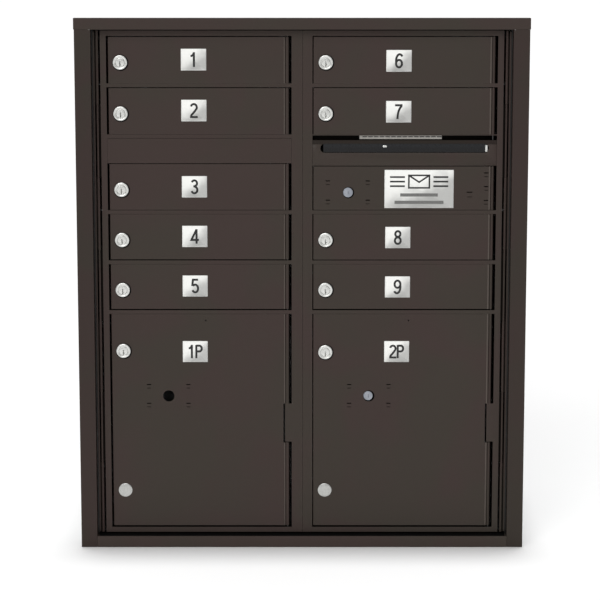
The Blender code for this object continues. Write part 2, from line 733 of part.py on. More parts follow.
def mail_slot_hood(pivot):
    """The slot panel: a recess under the rail's thin lip, and the face with the slot."""
    xs = insert_edges("right")
    low = row_span("right", 3)[0] + 0.5
    face = box("mail_slot_hood", xs, (0.0, DOOR_SHEET), (low, HOOD_FACE_TOP))
    recess_xs = (xs[0], xs[1] - 10.0)
    floor = box("recess_floor", recess_xs, (0.0, 14.0), (HOOD_FACE_TOP - DOOR_SHEET, HOOD_FACE_TOP))
    back = box("recess_back", recess_xs, (12.4, 14.0),
               (HOOD_FACE_TOP - DOOR_SHEET, INSERT_TOPS["right"] - 0.5))
    ears = []
    x, _ = SLOT_CENTRE
    for side in (-1, 1):
        inner = x + side * (FLAP_HALF_LENGTH + CLEAR)
        ear = box("ear", (inner, inner + side * EAR_SHEET), (0.8, FLAP_PIVOT_Y + 4.0),
                  (HOOD_FACE_TOP - 0.8, FLAP_PIVOT_Z - 4.0))
        ears.append(ear)
    join(face, floor, back, *ears)
    cut(face, stadium("slot", (-5.0, DOOR_SHEET + 0.6)))
    cut(face, flap_cylinder("pin_hole", FLAP_PIN_RADIUS + CLEAR, FLAP_PIN_REACH + 0.4))
    finish(face, BRONZE, pivot)


def flap_cylinder(name, radius, reach):
    """A cylinder on the flap's axis that runs reach to each side of the slot's middle."""
    x, _ = SLOT_CENTRE
    axis = (FLAP_PIVOT_Y, FLAP_PIVOT_Z)
    return cylinder(name, "x", axis, radius, (x - reach, x + reach), FINE_SIDES)


def slot_flap(master_pivot):
    """The inward-swinging flap behind the mail slot, on two stub pins."""
    x, _ = SLOT_CENTRE
    pivot = make_pivot("pivot_slot_flap", x, FLAP_PIVOT_Y, FLAP_PIVOT_Z, master_pivot)
    reach = FLAP_HALF_LENGTH
    front = DOOR_SHEET + 1.0
    flap = box("slot_flap", (x - reach, x + reach), (front, front + FLAP_SHEET),
               (FLAP_PIVOT_Z - FLAP_LENGTH, FLAP_PIVOT_Z))
    join(flap, flap_cylinder("bead", FLAP_BEAD_RADIUS, reach),
         flap_cylinder("pins", FLAP_PIN_RADIUS, FLAP_PIN_REACH))
    finish(flap, RUBBER, pivot)


# ---------------------------------------------------------------- latches

def latch_lever(master_pivot):
    """The carrier's lever: a crank with two pins and a thumb handle."""
    spot = (LATCH_PIVOT_X, LATCH_PIVOT_Z)
    pivot = make_pivot("pivot_latch_lever", LATCH_PIVOT_X, LEVER_FRONT, LATCH_PIVOT_Z, master_pivot)
    plate_ys = (LEVER_FRONT, LEVER_FRONT + LEVER_SHEET)
    lever = cylinder("latch_lever", "y", spot, LATCH_CRANK + 3.0, plate_ys, FACE_SIDES)
    angle = LATCH_START + math.radians(-90)
    tip_x = LATCH_PIVOT_X + LEVER_REACH * math.cos(angle)
    tip_z = LATCH_PIVOT_Z + LEVER_REACH * math.sin(angle)
    handle = box("handle", (LATCH_PIVOT_X - 5, LATCH_PIVOT_X + 5), plate_ys,
                 (LATCH_PIVOT_Z, LATCH_PIVOT_Z - LEVER_REACH))
    turn = Matrix.Rotation(-LATCH_START, 4, "Y")
    centre = world(LATCH_PIVOT_X, 0.0, LATCH_PIVOT_Z)
    handle.data.transform(Matrix.Translation(centre) @ turn @ Matrix.Translation(-centre))
    knob = cylinder("knob", "y", (tip_x, tip_z), 5.8, (LEVER_FRONT - 1.5, plate_ys[1] - 0.2),
                    ROUND_SIDES)
    pin_ys = (plate_ys[1] - 0.5, LOWER_ROD_Y + 1.5)
    pins = [cylinder("pin", "y", crank_pin(side), LATCH_PIN_RADIUS, pin_ys, FINE_SIDES)
            for side in (1, -1)]
    join(lever, handle, knob, *pins)
    cut(lever, cylinder("bore", "y", spot, LATCH_STUD_RADIUS + CLEAR, (10.0, 30.0), ROUND_SIDES))
    finish(lever, STEEL, pivot)


def crank_pin(side):
    """The x and z of one of the lever's two pins, with the latch thrown."""
    return (LATCH_PIVOT_X + side * LATCH_CRANK * math.cos(LATCH_START),
            LATCH_PIVOT_Z + side * LATCH_CRANK * math.sin(LATCH_START))


def latch_rod(name, side, y, end_z, foot, master_pivot):
    """A flat latch bar driven by one crank pin through a cross slot.

    foot(pin_x, pin_z, ys) gives the boxes that join the bar to the pin. The slot reaches
    further on the side its pin swings to as the lever turns.
    """
    half_x, half_y = LATCH_ROD_HALF
    ys = (y - half_y, y + half_y)
    pin_x, pin_z = crank_pin(side)
    pivot = make_pivot("pivot_" + name, LATCH_ROD_X, y, pin_z, master_pivot)
    start_z = UPPER_ARM_Z if side > 0 else pin_z
    bar = box(name, (LATCH_ROD_X - half_x, LATCH_ROD_X + half_x), ys, (start_z, end_z))
    join(bar, *foot(pin_x, pin_z, ys))
    reach = LATCH_PIN_RADIUS + 0.4
    swing = side * 1.7
    slot_xs = (pin_x - reach + min(swing, 0.0), pin_x + reach + max(swing, 0.0))
    cut(bar, box("slot", slot_xs, (ys[0] - 5, ys[1] + 5), (pin_z - reach, pin_z + reach)))
    finish(bar, STEEL, pivot)


def upper_foot(pin_x, pin_z, ys):
    """An arm over the lever and down to its right pin, clear of the left pin's path."""
    half_x, _ = LATCH_ROD_HALF
    arm_zs = (UPPER_ARM_Z - half_x, UPPER_ARM_Z + half_x)
    drop_xs = (pin_x - FOOT_HALF, pin_x + FOOT_HALF)
    return [box("arm", (LATCH_ROD_X - half_x, drop_xs[1]), ys, arm_zs),
            box("drop", drop_xs, ys, (pin_z - half_x, UPPER_ARM_Z))]


def lower_foot(pin_x, pin_z, ys):
    half_x, _ = LATCH_ROD_HALF
    return [box("foot", (LATCH_ROD_X - half_x, pin_x + FOOT_HALF), ys,
                (pin_z - half_x, pin_z + half_x))]


def left_slide_bolt(master_pivot):
    """The hand bolt that holds the left master door at its top."""
    half_x, half_y = LATCH_ROD_HALF
    ys = (UPPER_ROD_Y - half_y, UPPER_ROD_Y + half_y)
    pivot = make_pivot("pivot_left_slide_bolt", -LATCH_ROD_X, UPPER_ROD_Y, -40.0, master_pivot)
    bolt = box("left_slide_bolt", (-LATCH_ROD_X - half_x, -LATCH_ROD_X + half_x), ys, (-100.0, BAR_TOP))
    grip = box("grip", (-LATCH_ROD_X - half_x + 0.5, -LATCH_ROD_X + half_x - 0.5),
               (ys[1] - 0.5, ys[1] + 4.0), (-58.0, -42.0))
    join(bolt, grip)
    finish(bolt, STEEL, pivot)


# ---------------------------------------------------------------- the whole unit

def build():
    cabinet_shell()
    back_panel()
    center_partition()
    above = RAIL / 2 + RACK_SHEET / 2
    floors = [top + above for top in (ROW_TOPS[2], -2 * MODULE, ROW_TOPS[4], ROW_TOPS[5], PARCEL_TOP)]
    shelf_rack("left_shelf_rack", -1, floors + [ROW_TOPS[3] + above])
    shelf_rack("right_shelf_rack", 1, floors)
    trims()
    cabinet_hinge("left_cabinet_hinge", -1)
    cabinet_hinge("right_cabinet_hinge", 1)

    middle = (MASTER_TOP + MASTER_BOTTOM) / 2
    left = make_pivot("pivot_left_master", -PIANO_X, PIANO_Y, middle)
    right = make_pivot("pivot_right_master", PIANO_X, PIANO_Y, middle)
    left_master_door(left)
    right_master_door(right)
    column_rod("left_door_rod", "left", left)
    column_rod("right_door_rod", "right", right)
    filler_panel(left)
    left_slide_bolt(left)
    mail_slot_hood(right)
    slot_flap(right)
    latch_lever(right)
    latch_rod("upper_latch_rod", 1, UPPER_ROD_Y, BAR_TOP, upper_foot, right)
    latch_rod("lower_latch_rod", -1, LOWER_ROD_Y, BAR_BOTTOM, lower_foot, right)

    for row in ROW_TOPS:
        tenant_door(row, "left", row, left)
    for number, row in ((6, 1), (7, 2), (8, 4), (9, 5)):
        tenant_door(number, "right", row, right)
    carrier_door(right)
    parcel_door(1, "left", left)
    parcel_door(2, "right", right)


for old in list(bpy.data.objects):
    bpy.data.objects.remove(old)
PARTS = bpy.data.collections.new("cluster_mailbox")
CUTTERS = bpy.data.collections.new("cutters")
bpy.context.scene.collection.children.link(PARTS)
bpy.context.scene.collection.children.link(CUTTERS)
build()
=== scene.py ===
"""Looks for the cluster mailbox: powder-coated doors and trim, locks, number plates and the mail slot.

Lengths are millimetres in the door frame: x runs right from the middle of the unit, depth runs
back from the front plane of the doors, and z runs up from the unit's lowest edge. Places come
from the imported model's nodes.
"""

import math

import bmesh
import bpy
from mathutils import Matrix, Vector


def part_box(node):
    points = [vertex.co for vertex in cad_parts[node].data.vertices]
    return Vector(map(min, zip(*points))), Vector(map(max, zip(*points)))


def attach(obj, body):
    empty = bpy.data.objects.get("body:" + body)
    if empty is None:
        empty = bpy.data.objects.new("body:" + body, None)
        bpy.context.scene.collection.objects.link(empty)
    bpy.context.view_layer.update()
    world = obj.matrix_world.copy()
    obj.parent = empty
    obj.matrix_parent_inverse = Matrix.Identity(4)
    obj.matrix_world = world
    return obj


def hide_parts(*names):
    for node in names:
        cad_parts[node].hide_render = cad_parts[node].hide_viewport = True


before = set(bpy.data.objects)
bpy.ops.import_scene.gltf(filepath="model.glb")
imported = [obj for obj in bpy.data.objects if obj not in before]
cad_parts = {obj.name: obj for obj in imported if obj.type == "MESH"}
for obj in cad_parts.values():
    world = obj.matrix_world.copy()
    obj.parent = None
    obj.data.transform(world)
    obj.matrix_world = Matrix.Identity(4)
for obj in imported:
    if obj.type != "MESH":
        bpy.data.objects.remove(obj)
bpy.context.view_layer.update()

MM = 0.001
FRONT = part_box("left_master_door")[0].y  # world y of the doors' front plane

# Doors
DOOR_SHEET = 1.6
DOOR_FOLD = 1.3  # outer radius of the folded left edge
DOOR_EDGE = 0.25  # rounding of the top and bottom edges
RIB_CENTRE = {"left": 5.5, "right": 5.0}  # the raised rib stands this far left of the hinge axis
RIB_HALF = {"left": 1.0, "right": 1.4}
RIB_RISE = 0.8
FOLD_LINE = {"left": 3.4, "right": 2.4}  # the fold line's distance from the hinge axis
FOLD_LINE_HALF = 0.6
FOLD_LINE_DEPTH = 1.2
FLANGE_STOP = 14.0  # the top and bottom flanges end this far before the hinge axis
ROW_OVER_DOOR = 0.8  # a row's top edge stands this far above its door

# The doors hang a little unevenly in their openings: how far each one is moved up, how much its
# lower edge is raised, and how much its upper edge is lowered.
HANG = {"1": -0.6, "2": -0.4, "6": -0.6, "7": -0.45, "4": 0.4, "5": 0.4, "8": 0.4, "9": 0.45}
FOOT = {"4": 0.8, "5": 1.1, "8": 0.3, "9": 1.1}
BROW = {"1": 0.5, "2": 0.4, "6": 0.4, "7": 0.3}

# Locks
LOCK_RADIUS = 12.6
PLUG_RADIUS = 8.0
BARREL_RADIUS = 9.3
THREAD_PITCH = 1.2
THREAD_DEPTH = 0.45
THREAD_START = 7.0  # the thread begins this far behind the door's front plane
NUT_RADIUS = 12.4
NUT_DEPTHS = (2.1, 5.9)
KEYWAY_SIZE = (2.0, 9.4)
KEYWAY_DROP = 2.6
CAM_SHOULDER = 7.6  # radius of the cam's upper end
CAM_TIP = 6.0
SHADOW_RING_RADIUS = 13.9
SHADOW_RING_OFFSET = 0.8  # the black rings behind the lock faces sit low and to the right: a painted shadow

# Number plates
PLATE_SIZE = (44.4, 38.0)
PLATE_RISE = 0.8
PLATE_PANEL = -PLATE_RISE + 0.2  # depth of the sunk panel that carries the figures
PLATE_FROM_LOCK = {"left": 127.9, "right": 127.3}  # from the lock's centre to the plate's centre
PLATE_DROP = 41.5  # from the row's top edge to the plate's centre
PARCEL_PLATE_DROP = 68.6
PLATE_SHIFT = {"1": 0.5, "2": 0.9, "3": 0.7, "4": 1.9, "5": 2.5, "1P": 0.9,
               "6": -1.6, "7": -1.1, "8": 0.0, "9": 0.9, "2P": 0.9}  # the plates are set one by one
CAP_HEIGHT = 25.6
STROKE = 3.7

# Postal locks
POSTAL_CASE_SETBACK = 2.7  # from the front of the face to the front of the case
POSTAL_SHADE_RING_RADIUS = 14.0
KEYHOLE_RADIUS = 10.0
PARCEL_FACE = (-1.5, 8.4)  # how far the face stands right of its case's middle, and its radius
CARRIER_FACE = (0.2, 8.8)

# Carrier's door
CARRIER_PLATE_SIZE = (121.5, 67.5)
CARRIER_PLATE_FROM_KEYHOLE = (124.9, 6.4)
CARRIER_HOLE_SHIFT = 1.1
CARRIER_MARKS_FROM_KEYHOLE = 242.6  # a column of welds near the hinge
CARRIER_MARK_RISES = (31.0, 7.0, -17.5)
WIDE_MARK_OFFSET = (-29.0, -4.0)

# Parcel doors
PARCEL_HANG = 0.4
PARCEL_FOOT = 2.1  # how much the door is short of its opening
PARCEL_PLATE_SHIFT = -0.7
TAB_GAP = (161.05, 231.95)  # the notch for the hinge tab, below the door's upper edge
TAB_GAP_WIDTH = (-7.7, 6.0)  # from the hinge axis
KEYHOLE_FROM_LOCK = {"left": 79.5, "right": 77.7}
KEYHOLE_DROP = 147.25  # below the door's upper edge
PEEP_FROM_LOCK = {"left": 146.1, "right": 147.3}
PEEP_DROP = 11.1
PEEP_RADIUS = 1.3

# Weld marks
MARK_SPREAD = (35.0, 17.0)  # the welds stand this far beside and above a keyhole
MARK_CREASES = ((3.6, 8.2, 2.2, 1.1), (-2.8, 7.0, 1.8, 0.75))  # rise, width, height, depth

# Cabinet
RIVET_PROFILE = ((3.4, 0.02), (3.3, 0.35), (2.8, 0.8), (1.8, 1.15), (0.7, 1.3))  # radius, rise
RIVET_MARGIN = 22.0
RIVET_PITCH = 88.9
RIVET_ROWS = 9
RIVET_SET_IN = (75.0, 30.0)  # from the doors' front plane and from the cabinet's back
BACK_RIVET_FLATNESS = 0.35  # the heads behind are pressed nearly flush, so that the back rests flat

# Mail slot
SLOT_HALF_LENGTH = 147.3
SLOT_RADIUS = 7.9
SLOT_DROP = 21.9  # from the panel's top edge to the slot's centre
RECESS_HEIGHT = 7.8  # the recess over the panel's face
LIP_HEIGHT = 7.4
# the lip is set back just far enough for the coat's painted crevice shade to darken it partly: a
# painted shadow under the recess
LIP_SETBACK = 0.72
STRIP_SIZE = (144.0, 7.6)
STRIP_SHIFT = (-7.0, 1.6)  # from the slot's middle, and from the recess's middle
STRIP_FRONT = 2.5
DASH_START = (-73.5, 1.9)  # from the slot's middle, and from the recess's middle
DASH_PITCH = 10.0
DASH_LENGTH = 7.8
DASH_COUNT = 14
FLAP_ENDS = (-142.0, 141.1)
RIVET_SHIFT = (-34.5, 3.0)
CLIP_SHIFT = (143.4, -0.6)

# Studio
CAMERA_SPOT = (-3.5, -3901.5, 1070.8)
CAMERA_TILT = 9.111  # degrees below the horizon
CAMERA_LENS = 134.12
SKY_STRENGTH = 0.36
SUNS = (("overhead", (0.0, 0.23, 4.0), 2.1, 10.5),  # name, direction, strength, degrees across
        ("front", (-0.85, -3.17, 2.29), 1.22, 40.0))


# --- mesh tools ---

def place(x, depth, z):
    """A point of the door frame in world metres."""
    return Vector((x * MM, FRONT + depth * MM, z * MM))


def node_box(node):
    """A node's low and high corners in the door frame, in millimetres."""
    low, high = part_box(node)
    offset = Vector((0.0, FRONT, 0.0))
    return (low - offset) / MM, (high - offset) / MM


def node_centre(node):
    low, high = node_box(node)
    return (low + high) / 2


def make_object(name, bm):
    """Closes off a bmesh as a linked object with outward normals."""
    bmesh.ops.recalc_face_normals(bm, faces=bm.faces)
    mesh = bpy.data.meshes.new(name)
    bm.to_mesh(mesh)
    bm.free()
    made = bpy.data.objects.new(name, mesh)
    bpy.context.scene.collection.objects.link(made)
    return made


def add_loft(bm, rings, closed_ring=False):
    """Adds a solid through rings of points; its ends are capped unless the rings close."""
    loops = [[bm.verts.new(place(*point)) for point in ring] for ring in rings]
    pairs = list(zip(loops, loops[1:]))
    if closed_ring:
        pairs.append((loops[-1], loops[0]))
    for first, second in pairs:
        count = len(first)
        for i in range(count):
            j = (i + 1) % count
            bm.faces.new((first[i], first[j], second[j], second[i]))
    if not closed_ring:
        bm.faces.new(loops[0])
        bm.faces.new(loops[-1])


def loft(name, rings, closed_ring=False):
    bm = bmesh.new()
    add_loft(bm, rings, closed_ring)
    return make_object(name, bm)


def ellipse(centre, radii, start, end, steps=18):
    """Points on an ellipse from start to end, in degrees, with both ends included."""
    points = []
    for i in range(steps + 1):
        angle = math.radians(start + (end - start) * i / steps)
        points.append((centre[0] + radii[0] * math.cos(angle), centre[1] + radii[1] * math.sin(angle)))
    return points


def arc(centre, radius, start, end, steps):
    return ellipse(centre, (radius, radius), start, end, steps)


def turned(name, spot, profile, steps=64):
    """A solid of revolution about the depth line through spot=(x, z).

    profile lists (radius, depth) points. One that starts and ends on the axis is solid, and one
    that stays off it closes on itself round a bore.
    """
    x, z = spot
    solid = profile[0][0] == 0.0
    rings = []
    for radius, depth in profile[1:-1] if solid else profile:
        ring = arc((x, z), radius, 0.0, 360.0, steps)[:-1]
        rings.append([(px, depth, pz) for px, pz in ring])
    return loft(name, rings, closed_ring=not solid)


def slab(name, xs, depths, zs):
    """A box that is cut or joined into something else."""
    corners = [(min(xs), min(zs)), (max(xs), min(zs)), (max(xs), max(zs)), (min(xs), max(zs))]
    return loft(name, [[(x, depth, z) for x, z in corners] for depth in sorted(depths)])


def rounded_outline(centre, size, radius, steps=6):
    """The (x, z) outline of a rectangle with round corners."""
    half_x, half_z = size[0] / 2 - radius, size[1] / 2 - radius
    points = []
    for sx, sz, start in ((1, 1, 0), (-1, 1, 90), (-1, -1, 180), (1, -1, 270)):
        corner = (centre[0] + sx * half_x, centre[1] + sz * half_z)
        points += arc(corner, radius, start, start + 90, steps)
    return points


def rounded_slab(name, centre, size, radius, rings):
    """A loft of round-cornered rectangles; rings lists (inset, depth) from back to front."""
    made = []
    for inset, depth in rings:
        outline = rounded_outline(centre, (size[0] - 2 * inset, size[1] - 2 * inset),
                                  max(radius - inset, 0.15))
        made.append([(x, depth, z) for x, z in outline])
    return loft(name, made)


def apply_modifiers(target):
    """Replaces a mesh by what its modifiers make of it."""
    bpy.context.view_layer.update()
    evaluated = target.evaluated_get(bpy.context.evaluated_depsgraph_get())
    result = bpy.data.meshes.new_from_object(evaluated)
    target.modifiers.clear()
    target.data = result


def cut(target, tool):
    """Cuts the tool out of the target and removes the tool."""
    modifier = target.modifiers.new(tool.name, "BOOLEAN")
    modifier.operation = "DIFFERENCE"
    modifier.solver = "EXACT"
    modifier.object = tool
    apply_modifiers(target)
    bpy.data.objects.remove(tool)


def add_bevel(obj, width, segments=2):
    """Rounds the sharp edges by a bevel modifier."""
    bevel = obj.modifiers.new("edges", "BEVEL")
    bevel.width = width * MM
    bevel.segments = segments
    bevel.limit_method = "ANGLE"
    bevel.angle_limit = math.radians(50)
    bevel.harden_normals = True


def settle(obj, body, material):
    """Gives a new piece its finish and lets it ride on its body."""
    obj.data.materials.clear()
    obj.data.materials.append(material)
    obj.data.shade_smooth()
    obj.data.set_sharp_from_angle(angle=math.radians(32))
    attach(obj, body)
    return obj


# --- materials ---

class Shader:
    """A material's node tree, with short calls for the nodes these finishes share."""

    def __init__(self, name):
        self.material = bpy.data.materials.new(name)
        self.material.use_nodes = True
        self.tree = self.material.node_tree
        self.surface = self.tree.nodes["Principled BSDF"]
        self.place = self.node("ShaderNodeTexCoord").outputs["Object"]

    def node(self, kind, **settings):
        made = self.tree.nodes.new(kind)
        for key, value in settings.items():
            setattr(made, key, value)
        return made

    def link(self, source, target):
        if isinstance(source, (int, float)):
            target.default_value = source
        elif isinstance(source, tuple):
            target.default_value = (*source, 1.0)
        else:
            self.tree.links.new(source, target)

    def noise(self, scale, detail=3.0, stretch=(1.0, 1.0, 1.0), distortion=0.0):
        mapping = self.node("ShaderNodeMapping")
        mapping.inputs["Scale"].default_value = stretch
        self.link(self.place, mapping.inputs["Vector"])
        made = self.node("ShaderNodeTexNoise")
        made.inputs["Scale"].default_value = scale
        made.inputs["Detail"].default_value = detail
        made.inputs["Distortion"].default_value = distortion
        self.link(mapping.outputs["Vector"], made.inputs["Vector"])
        return made.outputs["Fac"]

    def cells(self, scale):
        """Irregular cells, each with its own random value."""
        made = self.node("ShaderNodeTexVoronoi")
        made.inputs["Scale"].default_value = scale
        self.link(self.place, made.inputs["Vector"])
        split = self.node("ShaderNodeSeparateColor")
        self.link(made.outputs["Color"], split.inputs["Color"])
        return split.outputs["Red"]

    def spread(self, value, low, high, to_low=0.0, to_high=1.0):
        """Maps a range of value smoothly onto another range."""
        made = self.node("ShaderNodeMapRange", interpolation_type="SMOOTHSTEP")
        self.link(value, made.inputs["Value"])
        for key, number in (("From Min", low), ("From Max", high), ("To Min", to_low),
                            ("To Max", to_high)):
            made.inputs[key].default_value = number
        return made.outputs["Result"]

    def maths(self, operation, first, second):
        made = self.node("ShaderNodeMath", operation=operation)
        self.link(first, made.inputs[0])
        self.link(second, made.inputs[1])
        return made.outputs[0]

    def mix(self, factor, first, second):
        made = self.node("ShaderNodeMix", data_type="RGBA")
        self.link(factor, made.inputs["Factor"])
        self.link(first, made.inputs[6])
        self.link(second, made.inputs[7])
        return made.outputs[2]

    def bump(self, height, strength, distance, below=None):
        made = self.node("ShaderNodeBump")
        made.inputs["Strength"].default_value = strength
        made.inputs["Distance"].default_value = distance * MM
        self.link(height, made.inputs["Height"])
        if below is not None:
            self.link(below, made.inputs["Normal"])
        return made.outputs["Normal"]

    def edges(self, radius):
        """1 on convex and concave edges and 0 on flat ground, within radius."""
        soft = self.node("ShaderNodeBevel", samples=4)
        soft.inputs["Radius"].default_value = radius * MM
        sharp = self.node("ShaderNodeNewGeometry").outputs["Normal"]
        product = self.node("ShaderNodeVectorMath", operation="DOT_PRODUCT")
        self.link(soft.outputs["Normal"], product.inputs[0])
        self.link(sharp, product.inputs[1])
        return self.spread(product.outputs["Value"], 0.80, 0.995, 1.0, 0.0)

    def relief(self, crevice_at):
        """Two masks about the doors' front plane: what stands proud of it, for a painted highlight,
        and its crevices, for painted shade.
        """
        spot = self.node("ShaderNodeSeparateXYZ")
        self.link(self.place, spot.inputs[0])
        depth = spot.outputs["Y"]
        facing = self.node("ShaderNodeSeparateXYZ")
        self.link(self.node("ShaderNodeTexCoord").outputs["Normal"], facing.inputs[0])
        forward = self.spread(facing.outputs["Y"], -0.6, -0.3, 1.0, 0.0)
        near = self.maths("MULTIPLY", forward, self.spread(depth, FRONT - 0.0016, FRONT - 0.0012))
        proud = self.maths("MULTIPLY", near,
                           self.spread(depth, FRONT - 0.0005, FRONT - 0.00015, 1.0, 0.0))
        behind = self.spread(facing.outputs["Y"], 0.3, 0.6, 1.0, 0.0)
        start = FRONT + crevice_at * MM
        sunk = self.spread(depth, start, start + 0.0008, 0.0, 0.93)
        return proud, self.maths("MULTIPLY", sunk, behind)

    def finish(self, colour, roughness, metallic=0.0, normal=None, specular=0.5):
        self.link(colour, self.surface.inputs["Base Color"])
        self.link(roughness, self.surface.inputs["Roughness"])
        self.link(metallic, self.surface.inputs["Metallic"])
        self.link(specular, self.surface.inputs["Specular IOR Level"])
        if normal is not None:
            self.link(normal, self.surface.inputs["Normal"])
        return self.material


def powder_coat(name, shade=1.0, crevice_at=0.3):
    """Dark bronze powder coat: faint warm and green drifts and orange peel, with a painted highlight
    on its edges and on the rib that stands proud of the doors' front plane.

    Painted shade darkens its crevices from crevice_at millimetres behind the doors' front plane.
    """
    s = Shader(name)
    drift = s.spread(s.noise(7.0, 2.0, distortion=0.6), 0.35, 0.65)
    warm = tuple(shade * channel for channel in (0.0455, 0.0308, 0.0270))
    green = tuple(shade * channel for channel in (0.0415, 0.0330, 0.0262))
    speck = s.spread(s.noise(1500.0, 2.0), 0.62, 0.75, 0.0, 0.35)
    base = s.mix(speck, s.mix(drift, warm, green), (0.058, 0.047, 0.041))
    # painted highlight on the edges, broken up by noise
    edge_highlight = s.maths("MULTIPLY", s.edges(0.7), s.spread(s.noise(60.0, 4.0), 0.3, 0.7, 0.35, 1.0))
    proud, crevice_shade = s.relief(crevice_at)
    # painted highlight on the rib that stands proud of the front plane, joined with the edges' painted
    # highlight
    painted_highlight = s.maths("MAXIMUM", s.maths("MULTIPLY", edge_highlight, 0.4), s.maths("MULTIPLY", proud, 0.75))
    # painted shade: crevices behind the front plane turn near black and lose their gloss
    colour = s.mix(crevice_shade, s.mix(painted_highlight, base, (0.11, 0.092, 0.08)), (0.003, 0.0025, 0.002))
    gloss = s.maths("SUBTRACT", 0.17 * shade, s.maths("MULTIPLY", crevice_shade, 0.16 * shade))
    roughness = s.spread(s.noise(300.0, 3.0), 0.3, 0.7, 0.40, 0.52)
    peel = s.bump(s.noise(700.0, 2.0), 0.16, 0.12)
    grain = s.bump(s.noise(2600.0, 2.0), 0.12, 0.05, below=peel)
    return s.finish(colour, roughness, 0.0, grain, specular=gloss)


def galvanised(shaded_front=False):
    """Galvanised sheet with soft spangle; the other kind is painted near black on its front edges,
    painted shade for the gaps round the doors.
    """
    s = Shader("galvanised_sheet_coated_front" if shaded_front else "galvanised_sheet")
    spangle = s.spread(s.cells(110.0), 0.0, 1.0)
    cloud = s.noise(25.0, 4.0)
    tone = s.mix(spangle, (0.40, 0.41, 0.42), (0.54, 0.55, 0.55))
    colour = s.mix(s.spread(cloud, 0.4, 0.7, 0.0, 0.35), tone, (0.36, 0.36, 0.35))
    roughness = s.spread(s.cells(110.0), 0.0, 1.0, 0.34, 0.5)
    metallic = 0.85
    if shaded_front:
        depth = s.node("ShaderNodeSeparateXYZ")
        s.link(s.place, depth.inputs[0])
        # painted shade: the shell's front 20 mm turns near black and loses its metal
        coat = s.spread(depth.outputs["Y"], FRONT + 0.020, FRONT + 0.0215, 1.0, 0.0)
        colour = s.mix(coat, colour, (0.004, 0.0035, 0.003))
        metallic = s.spread(coat, 0.0, 1.0, 0.85, 0.0)
    scuffs = s.bump(s.noise(900.0, 3.0, stretch=(1.0, 1.0, 0.15)), 0.1, 0.05)
    return s.finish(colour, roughness, metallic, scuffs)


def nickel(name, shade=1.0):
    """Satin nickel plate with fine turning marks and a few darker blooms."""
    s = Shader(name)
    bloom = s.spread(s.noise(180.0, 4.0), 0.45, 0.75, 0.0, 0.5)
    fleck = s.spread(s.noise(750.0, 3.0), 0.5, 0.72, 0.0, 0.6)
    bright, dull, pitted = [tuple(shade * channel for channel in tone) for tone in
                            ((0.72, 0.725, 0.70), (0.60, 0.60, 0.57), (0.42, 0.42, 0.40))]
    colour = s.mix(fleck, s.mix(bloom, bright, dull), pitted)
    roughness = s.spread(s.noise(500.0, 3.0), 0.3, 0.7, 0.26, 0.42)
    marks = s.bump(s.noise(1600.0, 2.0, stretch=(1.0, 1.0, 0.4)), 0.18, 0.06)
    return s.finish(colour, roughness, 1.0, marks)


def brushed_plate():
    """Brushed silver plate with a painted reflection: bright towards its upper left, greyer below a
    soft diagonal.
    """
    s = Shader("brushed_silver_plate")
    spot = s.node("ShaderNodeSeparateXYZ")
    s.link(s.node("ShaderNodeTexCoord").outputs["Generated"], spot.inputs[0])
    across = s.maths("SUBTRACT", spot.outputs["Z"], spot.outputs["X"])
    wavy = s.maths("ADD", across, s.spread(s.noise(40.0, 2.0), 0.3, 0.7, -0.12, 0.12))
    # painted reflection along a soft diagonal
    painted_reflection = s.spread(wavy, -0.45, 0.35)
    colour = s.mix(painted_reflection, (0.50, 0.50, 0.485), (0.90, 0.90, 0.87))
    brush = s.noise(900.0, 3.0, stretch=(0.06, 1.0, 1.0))
    roughness = s.spread(brush, 0.3, 0.7, 0.30, 0.44)
    return s.finish(colour, roughness, 0.9, s.bump(brush, 0.1, 0.03))


def mottled(name, tones, patches, gloss, grain, metallic=0.0, specular=0.5):
    """One tone with patches of another, an uneven gloss and a fine grain.

    patches is the noise's scale and detail, the range that it fades over, and its full strength.
    gloss is a scale and a range of roughness. grain is a scale, detail, strength and height.
    """
    s = Shader(name)
    scale, detail, low, high, full = patches
    colour = s.mix(s.spread(s.noise(scale, detail), low, high, 0.0, full), *tones)
    roughness = s.spread(s.noise(gloss[0]), 0.3, 0.7, *gloss[1:])
    bumps = s.bump(s.noise(*grain[:2]), *grain[2:])
    return s.finish(colour, roughness, metallic, bumps, specular)


def ink():
    """Slightly worn black sign ink."""
    return mottled("black_sign_ink", ((0.004, 0.004, 0.004), (0.03, 0.03, 0.028)),
                   (1200.0, 4.0, 0.6, 0.8, 0.4), (700.0, 0.35, 0.5), (2000.0, 3.0, 0.1, 0.03))


def grey_ink():
    """The thinner grey print of a plate's small lines."""
    return mottled("grey_sign_ink", ((0.13, 0.13, 0.125), (0.24, 0.24, 0.23)),
                   (900.0, 5.0, 0.4, 0.7, 0.6), (700.0, 0.4, 0.55), (2000.0, 3.0, 0.1, 0.03), 0.1)


def lock_case():
    """Grey die-cast lock case."""
    return mottled("grey_die_cast", ((0.29, 0.31, 0.35), (0.37, 0.39, 0.43)),
                   (120.0, 4.0, 0.35, 0.7, 1.0), (400.0, 0.36, 0.5), (1000.0, 4.0, 0.2, 0.08), 0.75)


def rubber():
    """Matt black with faint dust, for the painted shade and shadow round the locks and on the sill."""
    return mottled("black_painted_shade", ((0.0015, 0.0015, 0.0015), (0.004, 0.004, 0.004)),
                   (80.0, 4.0, 0.5, 0.8, 0.4), (400.0, 0.7, 0.85), (1200.0, 3.0, 0.1, 0.05),
                   specular=0.1)


def label_plastic():
    """Greyed label strip with dust."""
    return mottled("grey_label_strip", ((0.33, 0.315, 0.29), (0.26, 0.25, 0.23)),
                   (120.0, 4.0, 0.4, 0.75, 0.5), (500.0, 0.45, 0.6), (1500.0, 3.0, 0.1, 0.04),
                   specular=0.25)


